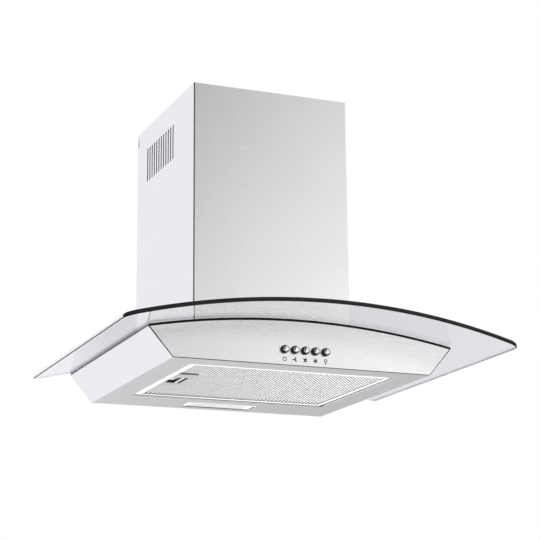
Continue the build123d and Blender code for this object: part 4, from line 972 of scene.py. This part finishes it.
@dataclass
class GlassCanopy:
    """Arched glass pane with ground edges, its seals and its clamps."""

    width: float = 0.600
    side_depth: float = 0.491
    bow: float = 0.015
    wall_gap: float = 0.002
    thick: float = 0.006
    radius: float = 1.2
    crown: float = 0.0685
    front_corner: float = 0.016
    rear_corner: float = 0.010
    corner_steps: int = 8
    opening_width: float = 0.176
    opening_depth: float = 0.190
    opening_middle: float = -0.135
    strip: float = 0.010
    ground: float = 0.0013
    sharp_angle: float = 60.0
    level_slope: float = 0.7
    rim_slope: float = 0.92
    front_slope: float = 0.2
    under_slope: float = 0.3
    left_slope: float = 0.5
    bead_high: float = 0.0018
    bead_proud: float = 0.0008
    bead_gap: float = 0.0001
    bead_end: float = 0.2362
    bead_sides: int = 12
    bead_steps: int = 48

    def height(self, x: float, radius: float) -> float:
        """Height of an arched surface at one place across the hood."""
        return self.crown - self.radius + sqrt(radius * radius - x * x)

    def build(self) -> None:
        """Build the pane and dress what holds it."""
        mesh = self.cut_plan()
        self.arch(mesh)
        self.grind_edges(mesh)
        finishes = [Finish.GLASS, Finish.FRONT_EDGE, Finish.SIDE_LINE, Finish.SIDE_EDGE, Finish.LIT_EDGE]
        for face in mesh.faces:
            face.material_index = finishes.index(self.finish_of(face))
        pane = settle("glass_pane", mesh, finishes, "hood")
        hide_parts("glass_canopy")
        settle("seal_bead", self.lay_bead(), [Finish.RUBBER], "hood")
        dress(Finish.GREY_RUBBER, "glass_gasket")
        dress(Finish.RUBBER, "glass_bushes", "blower_seal")
        dress(Finish.ZINC, "clamp_screws", "clamp_nuts")

    def lay_bead(self) -> Mesh:
        """Sweep the bead of the seal along the arched top edge of the fascia.

        Returns:
            The bead, with both ends closed.
        """
        mesh = bmesh.new()
        axis = Vector((0.0, 0.0, self.crown - self.radius))
        ring = bmesh.ops.create_circle(mesh, cap_ends=False, segments=self.bead_sides, radius=1.0)["verts"]
        bmesh.ops.scale(mesh, vec=(self.bead_high, self.bead_proud, 1.0), verts=ring)
        bmesh.ops.rotate(mesh, cent=ORIGIN, matrix=Matrix.Rotation(pi / 2, 3, "Y"), verts=ring)
        middle = Vector((0.0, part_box("front_fascia")[0].y, self.radius - self.bead_high - self.bead_gap))
        bmesh.ops.translate(mesh, vec=axis + middle, verts=ring)
        half = asin(self.bead_end / self.radius)
        bmesh.ops.rotate(mesh, cent=axis, matrix=Matrix.Rotation(-half, 3, "Y"), verts=ring)
        bmesh.ops.spin(mesh, geom=mesh.verts[:] + mesh.edges[:], cent=axis, axis=INWARDS,
                       angle=2 * half, steps=self.bead_steps)
        bmesh.ops.holes_fill(mesh, edges=[e for e in mesh.edges if e.is_boundary], sides=0)
        return mesh

    def cut_plan(self) -> Mesh:
        """Cut the flat plan of the pane, with rounded corners, bowed front and air way.

        Returns:
            The flat plan, cut into strips across its width.
        """
        mesh = bmesh.new()
        bmesh.ops.create_grid(mesh, x_segments=1, y_segments=1, size=0.5)
        depth = self.side_depth - self.wall_gap
        bmesh.ops.scale(mesh, vec=(self.width, depth, 1.0), verts=mesh.verts[:])
        bmesh.ops.translate(mesh, vec=(0.0, -self.wall_gap - depth / 2, 0.0), verts=mesh.verts[:])
        front = [v for v in mesh.verts if v.co.y < -depth / 2]
        rear = [v for v in mesh.verts if v not in front]
        for corners, radius in ((front, self.front_corner), (rear, self.rear_corner)):
            bmesh.ops.bevel(mesh, geom=corners, offset=radius, affect="VERTICES", segments=self.corner_steps,
                            profile=0.5, material=-1)
        for cut in range(1, round(self.width / self.strip)):
            slice_by(mesh, (cut * self.strip - self.width / 2, 0.0, 0.0), ACROSS)
        half = self.opening_width / 2
        front_end, rear_end = (self.opening_middle + side * self.opening_depth / 2 for side in (-1, 1))
        for x in (-half, half):
            slice_by(mesh, (x, 0.0, 0.0), ACROSS)
        for y in (front_end, rear_end):
            slice_by(mesh, (0.0, y, 0.0), INWARDS)
        low, high = Vector((-half, front_end)), Vector((half, rear_end))
        bmesh.ops.delete(mesh, geom=[f for f in mesh.faces if over(f, low, high)], context="FACES")
        for vert in mesh.verts:
            share = max(0.0, (front_end - vert.co.y) / (self.side_depth + front_end))
            vert.co.y -= share * self.bow * (1.0 - (2.0 * vert.co.x / self.width) ** 2)
        return mesh

    def arch(self, mesh: Mesh) -> None:
        """Give the flat plan its thickness and bend it to the arch.

        Args:
            mesh: Flat plan of the pane.
        """
        thicken(mesh, self.thick)
        for vert in mesh.verts:
            vert.co.z = self.height(vert.co.x, self.radius + vert.co.z)
        bmesh.ops.recalc_face_normals(mesh, faces=mesh.faces[:])

    def grind_edges(self, mesh: Mesh) -> None:
        """Grind the outline's sharp edges.

        Args:
            mesh: Arched pane with square edges.
        """
        sharp = [e for e in mesh.edges if len(e.link_faces) == 2
                 and e.calc_face_angle() > radians(self.sharp_angle)
                 and max(abs(f.normal.z) for f in e.link_faces) > self.level_slope]
        bmesh.ops.bevel(mesh, geom=sharp, offset=self.ground, affect="EDGES", segments=1,
                        profile=0.5, material=-1)
        bmesh.ops.recalc_face_normals(mesh, faces=mesh.faces[:])

    def finish_of(self, face: Face) -> Finish:
        """Choose the finish of one face of the pane.

        Args:
            face: Face of the ground pane.

        Returns:
            Glass, or the finish of the rim that the face belongs to.
        """
        middle, normal = face.calc_center_median(), face.normal
        inner = abs(middle.x) < self.opening_width and -self.side_depth / 2 < middle.y < -2 * self.wall_gap
        if inner or abs(normal.z) >= self.rim_slope:
            return Finish.GLASS
        # The rims take painted light and shade: a dark front edge, a dark line under the sides, and pale
        # sides that glow where they face left.
        if normal.y < -self.front_slope:
            return Finish.FRONT_EDGE
        if normal.z < -self.under_slope and normal.y < self.front_slope:
            return Finish.SIDE_LINE
        return Finish.LIT_EDGE if normal.x < -self.left_slope else Finish.SIDE_EDGE


@dataclass
class SteelBody:
    """Folded steel body under the glass, with dark strips round its fascia that paint the shade at its edges.
    """

    top_half: float = 0.2365
    bottom_half: float = 0.2005
    top_height: float = 0.0422
    # Widths of the side strips and of the foot strip of painted shade
    side_shade: float = 0.0009
    foot_shade: float = 0.0011
    proud: float = 0.00015
    sunk: float = 0.0006
    ease_share: float = 0.1

    def build(self) -> None:
        """Lay the strips of painted shade and dress the folded sheets of the body."""
        mesh = bmesh.new()
        # Black side strips and a dark grey foot strip: painted shade lines at the fascia's edges.
        finishes = [Finish.RUBBER, Finish.FOOT_SHADE]
        for side in (-1, 1):
            low = Vector((side * (self.bottom_half - self.side_shade / 2), 0.0, self.side_shade / 2))
            high = Vector((side * (self.top_half - self.side_shade), 0.0, self.top_height))
            self.lay_strip(mesh, low, high, self.side_shade, finishes.index(Finish.RUBBER))
        end = Vector((self.bottom_half - self.side_shade, 0.0, self.foot_shade / 2))
        start = Vector((-end.x, 0.0, end.z))
        self.lay_strip(mesh, start, end, self.foot_shade, finishes.index(Finish.FOOT_SHADE))
        settle("fascia_shade_strips", mesh, finishes, "hood")
        dress(Finish.SHELL, "canopy_shell")
        dress(Finish.FASCIA, "front_fascia")
        dress(Finish.GALVANISED, "back_panel", "canopy_top_plate")

    def lay_strip(self, mesh: Mesh, start: Vector, end: Vector, width: float, number: int) -> None:
        """Lay one narrow strip with eased edges on the face of the fascia, as a painted shade line.

        Args:
            mesh: Shape that collects the strips.
            start: Middle of one end, in the plane of the fascia.
            end: Middle of the other end.
            width: Width of the strip.
            number: Number of its finish.
        """
        along = end - start
        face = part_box("front_fascia")[0].y
        turn = Matrix.Rotation(Vector((1.0, 0.0)).angle_signed(along.xz), 3, "Y")
        middle = (start + end) / 2 + Vector((0.0, face + (self.sunk - self.proud) / 2, 0.0))
        size = (along.length, self.proud + self.sunk, width)
        add_block(mesh, size, middle, self.ease_share * width, turn, number)


@dataclass
class Chimney:
    """Outer and inner chimney covers with their wall brackets."""

    notch_depth: float = 0.005
    notch_height: float = 0.015
    notch_middle: float = 0.4425
    sheet: float = 0.0006
    fit: float = 0.0002

    def build(self) -> None:
        """Fill the notches with thin black blocks as painted shade, and dress the covers and brackets."""
        mesh = bmesh.new()
        # Thin black blocks in the notches paint the shade seen through them.
        low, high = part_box("chimney_outer")
        size = (self.sheet, self.notch_depth - 2 * self.fit, self.notch_height - 2 * self.fit)
        for wall in (low.x + self.sheet, high.x - self.sheet):
            middle = Vector((wall, high.y - self.notch_depth / 2, self.notch_middle))
            add_block(mesh, size, middle, self.fit / 2)
        settle("notch_shade_blocks", mesh, [Finish.BLACK_PLASTIC], "hood")
        dress(Finish.SLOTTED, "chimney_outer")
        dress(Finish.SHEET, "chimney_inner")
        dress(Finish.GALVANISED, "lower_wall_bracket", "upper_wall_bracket")


@dataclass
class ControlPanel:
    """Five push buttons with their printed signs."""

    keys: tuple[tuple[str, SignKind], ...] = (("off", SignKind.RING), ("low", SignKind.THREE_BLADES),
                                              ("medium", SignKind.FOUR_BLADES),
                                              ("high", SignKind.FIVE_BLADES), ("light", SignKind.BULB))
    rim: float = 0.0004
    rim_steps: int = 2
    steps: int = 40
    face_share: float = 0.74
    face_slope: float = 0.93
    slope: float = 0.0019
    shoulder: float = 0.0095
    stem: float = 0.0025
    dome: float = 0.0006
    dome_steps: int = 5
    crease: float = 50.0
    sign_drop: float = 0.0138
    sign_reach: float = 0.0039
    sign_line: float = 0.0011
    sign_lift: float = 0.00006
    ring_share: float = 0.82
    ring_steps: int = 28
    bulb_share: float = 0.66
    bulb_rise: float = 0.3
    cap_share: Pair = (0.62, 0.5)
    cap_drop: float = 0.75
    blade_shift: Pair = (1.02, 0.12)
    blade_length: float = 0.98
    blade_width: float = 0.56
    blade_room: float = 2.3
    blade_steps: int = 14

    def build(self) -> None:
        """Build the buttons and print the signs."""
        prints = bmesh.new()
        for key, kind in self.keys:
            low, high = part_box("button_" + key)
            middle = (low + high) / 2
            self.turn_button(key, low, high)
            self.draw_sign(prints, kind, Matrix.Translation((middle.x, middle.z - self.sign_drop, 0.0)))
        thicken(prints, self.sign_lift)
        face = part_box("front_fascia")[0].y
        bmesh.ops.rotate(prints, cent=ORIGIN, matrix=Matrix.Rotation(pi / 2, 3, "X"), verts=prints.verts[:])
        bmesh.ops.translate(prints, vec=(0.0, face, 0.0), verts=prints.verts[:])
        settle("button_signs", prints, [Finish.INK], "hood")
        dress(Finish.BLACK_PLASTIC, "switch_block")

    def turn_button(self, key: str, low: Vector, high: Vector) -> None:
        """Turn one chrome button from its profile.

        Args:
            key: Which button it is.
            low: Lowest corner of the solid button.
            high: Highest corner of the solid button.
        """
        radius = (high.x - low.x) / 2
        middle = Vector(((low.x + high.x) / 2, 0.0, (low.z + high.z) / 2))
        face_radius = self.face_share * radius
        ball = (face_radius ** 2 + self.dome ** 2) / (2 * self.dome)
        turns = [asin(face_radius / ball) * step / self.dome_steps for step in range(self.dome_steps + 1)]
        cap = [(ball * sin(turn), low.y + ball * (1.0 - cos(turn))) for turn in turns]
        shoulder = low.y + self.shoulder
        stem = [(radius, shoulder), (self.stem, shoulder), (self.stem, high.y), (0.0, high.y)]
        mesh = bmesh.new()
        lathe(mesh, middle, INWARDS, cap + [(radius, low.y + self.slope)] + stem, self.steps)
        bmesh.ops.remove_doubles(mesh, verts=mesh.verts[:], dist=MERGE)
        rim = [e for e in mesh.edges if all(abs(v.co.y - low.y - self.slope) < MERGE
               and abs((v.co - middle).xz.length - radius) < 10 * MERGE for v in e.verts)]
        bmesh.ops.bevel(mesh, geom=rim, offset=self.rim, affect="EDGES", segments=self.rim_steps,
                        profile=0.5, material=-1)
        bmesh.ops.recalc_face_normals(mesh, faces=mesh.faces[:])
        finishes = [Finish.CHROME, Finish.CHROME_DARK_REFLECTION]
        # The front faces stay bright chrome; the sides and rim take dark chrome as a painted dark reflection.
        for face in mesh.faces:
            bright = face.normal.y < -self.face_slope
            face.material_index = finishes.index(Finish.CHROME if bright else Finish.CHROME_DARK_REFLECTION)
        button = settle("push_button_" + key, mesh, finishes, "key_" + key, self.crease)
        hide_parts("button_" + key)

    def draw_sign(self, prints: Mesh, kind: SignKind, middle: Matrix) -> None:
        """Draw one flat sign, with the hood's height along Y.

        Args:
            prints: Shape that collects the signs.
            kind: Which sign to draw.
            middle: Place of its middle.
        """
        reach = self.sign_reach
        if kind is SignKind.RING:
            self.draw_ring(prints, self.ring_share * reach, middle)
        elif kind is SignKind.BULB:
            self.draw_ring(prints, self.bulb_share * reach,
                           middle @ Matrix.Translation((0.0, self.bulb_rise * reach, 0.0)))
            width, height = self.cap_share
            size = (width * reach, height * reach, 1.0)
            cap = Matrix.LocRotScale((0.0, -self.cap_drop * reach, 0.0), None, size)
            bmesh.ops.create_grid(prints, x_segments=1, y_segments=1, size=0.5, matrix=middle @ cap)
        else:
            self.draw_blades(prints, kind.value, middle)

    def draw_ring(self, prints: Mesh, radius: float, middle: Matrix) -> None:
        """Draw a ring of the sign's line width.

        Args:
            prints: Shape that collects the signs.
            radius: Outer radius.
            middle: Place of its middle.
        """
        made = bmesh.ops.create_circle(prints, cap_ends=True, segments=self.ring_steps, radius=radius,
                                       matrix=middle)
        disc = list(dict.fromkeys(face for vert in made["verts"] for face in vert.link_faces))
        bmesh.ops.inset_individual(prints, faces=disc, thickness=self.sign_line)
        bmesh.ops.delete(prints, geom=disc, context="FACES")

    def draw_blades(self, prints: Mesh, count: int, middle: Matrix) -> None:
        """Draw a fan of leaf-shaped blades round a small hub.

        Args:
            prints: Shape that collects the signs.
            count: Number of blades.
            middle: Place of its middle.
        """
        radius = self.sign_reach / 2
        width = min(self.blade_width, self.blade_room / count)
        shift = radius * Vector((*self.blade_shift, 0.0))
        leaf = Matrix.LocRotScale(shift, None, (self.blade_length, width, 1.0))
        for blade in range(count):
            turn = Matrix.Rotation((2 * blade + 1) * pi / count, 4, "Z")
            bmesh.ops.create_circle(prints, cap_ends=True, segments=self.blade_steps, radius=radius,
                                    matrix=middle @ turn @ leaf)


@dataclass
class GreaseFilter:
    """Drop-down grease filter with a perforated face and a spring latch."""

    pitch: float = 0.0054
    stretch: float = 1.32
    strand: float = 0.00102
    least_hole: float = 0.45
    border: float = 0.010
    # Width of the strip inside the right border that is painted dark as shade
    shade_gap: float = 0.0024
    row_pitch: float = 0.0062
    row_height: float = 0.0155
    shadow_depth: float = 0.0075
    wall_slope: float = 0.5
    crease: float = 30.0

    def build(self) -> None:
        """Build the perforated face and dress the cassette and its latch."""
        finishes = [Finish.FILTER_METAL, Finish.FILTER_SHADE]
        face = settle("perforated_face", self.punch_sheet(finishes), finishes, "grease_filter",
                      self.crease)
        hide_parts("filter_face_sheet")
        dress(Finish.FILTER_METAL, "filter_frame", "filter_back_sheet")
        # The core takes the dark finish as painted shade inside the filter.
        dress(Finish.FILTER_SHADE, "filter_core")
        dress(Finish.LATCH_CASE, "latch_case")
        dress(Finish.LATCH_SLIDER, "latch_slider")

    def punch_sheet(self, finishes: list[Finish]) -> Mesh:
        """Punch the face sheet: staggered diamond holes and a row of slots at the rear.

        Args:
            finishes: Finishes of the sheet, in the order of their numbers.

        Returns:
            The sheet with its holes, trimmed to the frame and round the latch case, with painted shade on its
            hole walls, along its right border and in front of the latch case.
        """
        low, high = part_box("filter_face_sheet")
        edge = Vector((self.border + self.shade_gap, self.border + self.row_height, 0.0))
        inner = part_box("filter_frame")[1] - edge
        mesh = self.lay_lattice(low, high)
        self.cut_round_latch(mesh)
        slice_by(mesh, inner, ACROSS)
        slice_by(mesh, inner, INWARDS)
        rear = [f for f in mesh.faces if f.calc_center_median().y > inner.y]
        bmesh.ops.delete(mesh, geom=rear, context="FACES")
        least = self.least_hole * self.stretch * self.pitch ** 2 / 2
        holes = [f for f in mesh.faces if f.calc_area() > least]
        bmesh.ops.inset_individual(mesh, faces=holes, thickness=self.strand)
        bmesh.ops.delete(mesh, geom=holes, context="FACES")
        self.lay_row(mesh, low, high, inner.y)
        thicken(mesh, high.z - low.z)
        mesh.normal_update()
        shadow = self.latch_shadow()
        # Painted shade: the hole walls, the strip along the right border and the strip in front of the latch
        # case take the dark finish.
        for face in mesh.faces:
            in_shade_gap = face.calc_center_median().x > inner.x
            dark = in_shade_gap or over(face, *shadow) or abs(face.normal.z) < self.wall_slope
            face.material_index = finishes.index(Finish.FILTER_SHADE if dark else Finish.FILTER_METAL)
        return mesh

    def lay_lattice(self, low: Vector, high: Vector) -> Mesh:
        """Lay a flat lattice of diamonds over the sheet.

        Args:
            low: Lowest corner of the sheet.
            high: Highest corner of the sheet.

        Returns:
            The lattice, trimmed to the sheet.
        """
        middle, size = (low + high) / 2, high - low
        cell = self.pitch / sqrt(2.0)
        count = int((size.x + size.y / self.stretch) / self.pitch) + 2
        mesh = bmesh.new()
        bmesh.ops.create_grid(mesh, x_segments=count, y_segments=count, size=count * cell / 2)
        bmesh.ops.rotate(mesh, cent=ORIGIN, matrix=Matrix.Rotation(pi / 4, 3, "Z"), verts=mesh.verts[:])
        bmesh.ops.scale(mesh, vec=(1.0, self.stretch, 1.0), verts=mesh.verts[:])
        bmesh.ops.translate(mesh, vec=(middle.x, middle.y, low.z), verts=mesh.verts[:])
        for point, normal in ((low, (-1, 0, 0)), (low, (0, -1, 0)), (high, (1, 0, 0)), (high, (0, 1, 0))):
            geometry = mesh.verts[:] + mesh.edges[:] + mesh.faces[:]
            bmesh.ops.bisect_plane(mesh, geom=geometry, plane_co=point, plane_no=normal, clear_outer=True)
        return mesh

    def lay_row(self, mesh: Mesh, low: Vector, high: Vector, front: float) -> None:
        """Lay the row of slots along the rear edge.

        Args:
            mesh: Flat sheet that takes the row.
            low: Lowest corner of the sheet.
            high: Highest corner of the sheet.
            front: Where the row begins.
        """
        width = high.x - low.x
        middle = ((low.x + high.x) / 2, (front + high.y) / 2, low.z)
        place = Matrix.LocRotScale(middle, None, (width, high.y - front, 1.0))
        marks = 2 * round(width / self.row_pitch)
        bmesh.ops.create_grid(mesh, x_segments=marks, y_segments=1, size=0.5, matrix=place)
        row = [f for f in mesh.faces if f.calc_center_median().y > front]
        slots = [f for f in row if int(marks * (f.calc_center_median().x - low.x) / width) % 2]
        bmesh.ops.delete(mesh, geom=slots, context="FACES")

    def latch_shadow(self) -> tuple[Vector, Vector]:
        """Strip of the sheet that lies dark in front of the latch case.

        Returns:
            Its lowest and highest corners.
        """
        low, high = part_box("latch_case")
        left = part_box("filter_frame")[0].x + self.border
        return Vector((left, low.y - self.shadow_depth, low.z)), Vector((high.x, low.y, low.z))

    def cut_round_latch(self, mesh: Mesh) -> None:
        """Cut the sheet out where the latch case stands.

        Args:
            mesh: Flat lattice of the face sheet.
        """
        low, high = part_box("latch_case")
        reach = self.pitch * self.stretch
        for point, normal in ((low, ACROSS), (high, ACROSS), (low, INWARDS), (high, INWARDS)):
            slice_by(mesh, point, normal, [f for f in mesh.faces if over(f, low, high, reach)])
        shadow = self.latch_shadow()
        slice_by(mesh, shadow[0], INWARDS, [f for f in mesh.faces if over(f, *shadow, reach)])
        bmesh.ops.delete(mesh, geom=[f for f in mesh.faces if over(f, low, high)], context="FACES")


@dataclass
class LampUnit:
    """Oblong lamp behind the filter."""

    rim: float = 0.0012
    sink: float = 0.0013
    ease: float = 0.0003
    end_facet: float = 0.009
    flange_share: float = 3.0
    # Walls of the sunk pane farther than this share of its depth towards the rear or right are black, as
    # painted shade
    dark_share: float = 0.25
    under_slope: float = 0.9

    def build(self) -> None:
        """Build the cover and dress its housing and the board."""
        finishes = [Finish.LENS_RIM, Finish.LENS, Finish.BLACK_PLASTIC]
        cover = settle("lamp_cover_plate", self.mould_cover(finishes), finishes, "hood")
        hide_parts("lamp_lens")
        dress(Finish.WHITE_PLASTIC, "lamp_housing", "lamp_driver")
        dress(Finish.BOARD, "led_board")
        dress(Finish.LED_RESIN, "led_chips")

    def mould_cover(self, finishes: list[Finish]) -> Mesh:
        """Mould the cover: a block with a pane sunk into a narrow rim, whose walls at the rear and right are
        black as painted shade.

        Args:
            finishes: Finishes of the cover, in the order of their numbers.

        Returns:
            The cover.
        """
        low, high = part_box("lamp_lens")
        size = high - low
        flange = -self.flange_share * low.z
        mesh = bmesh.new()
        add_block(mesh, (size.x - 2 * flange, size.y - 2 * flange, size.z), (low + high) / 2)
        under = [f for f in mesh.faces if f.normal.z < -self.under_slope]
        bmesh.ops.inset_region(mesh, faces=under, thickness=self.rim)
        walls = bmesh.ops.inset_region(mesh, faces=under, thickness=self.ease, depth=-self.sink)["faces"]
        heart = under[0].calc_center_median()
        # Painted shade: the walls at the rear and right end of the sunk pane are black.
        for wall in walls:
            away = wall.calc_center_median() - heart
            if max(away.x, away.y) > self.dark_share * size.y:
                wall.material_index = finishes.index(Finish.BLACK_PLASTIC)
        pane = size.x / 2 - flange - self.rim - self.end_facet
        for side in (-1, 1):
            sunk = [f for f in mesh.faces if abs(f.calc_center_median().z - heart.z) < self.ease / 2]
            slice_by(mesh, (heart.x + side * pane, heart.y, heart.z), ACROSS, sunk)
        for face in mesh.faces:
            away = face.calc_center_median() - heart
            if abs(away.z) < self.ease / 2 and abs(away.x) < pane:
                face.material_index = finishes.index(Finish.LENS)
        return mesh


@dataclass
class BlowerUnit:
    """Blower housing in the chimney with scroll, fan, motor, collar and flaps."""

    screw_edge: float = 0.006
    head_radius: float = 0.0034
    head_height: float = 0.0019
    head_shares: tuple[Pair, ...] = ((0.0, 1.0), (0.5, 0.94), (0.82, 0.7), (1.0, 0.3), (1.0, 0.0))
    steps: int = 20
    crease: float = 40.0

    def build(self) -> None:
        """Build the lid screws and dress the blower."""
        self.turn_lid_screws()
        dress(Finish.GALVANISED, "blower_housing", "blower_top_plate", "motor_bracket")
        dress(Finish.BLACK_PLASTIC, "scroll_left", "scroll_right", "fan_wheel", "duct_collar",
              "collar_flange", "flap_seat", "cable_gland")
        dress(Finish.GREY_PLASTIC, "flap_left", "flap_right", "control_box", "control_lid")
        dress(Finish.WHITE_PLASTIC, "motor_capacitor")
        dress(Finish.IRON, "motor_stator", "motor_rotor")
        dress(Finish.CAST, "motor_bell_front", "motor_bell_rear")
        dress(Finish.ZINC, "motor_shaft", "motor_bearings", "motor_bolts", "wheel_nut", "collar_screws",
              "flap_pin")

    def turn_lid_screws(self) -> None:
        """Turn the domed screws along the edge of the housing's lid."""
        low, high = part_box("blower_top_plate")
        head = [(radius * self.head_radius, height * self.head_height) for radius, height in self.head_shares]
        mesh = bmesh.new()
        for x in (low.x + self.screw_edge, high.x - self.screw_edge):
            for y in (low.y + 2 * self.screw_edge, (low.y + high.y) / 2, high.y - 2 * self.screw_edge):
                lathe(mesh, Vector((x, y, high.z)), UPWARDS, head, self.steps)
        settle("lid_screws", mesh, [Finish.ZINC], "hood", self.crease)


def main() -> None:
    """Build the stage and every sub-assembly."""
    logging.basicConfig(level=logging.INFO, format="%(name)s: %(message)s")
    StudioStage().build()
    for unit in (GlassCanopy(), SteelBody(), Chimney(), ControlPanel(), GreaseFilter(), LampUnit(),
                 BlowerUnit()):
        unit.build()


if __name__ == "__main__":
    main()
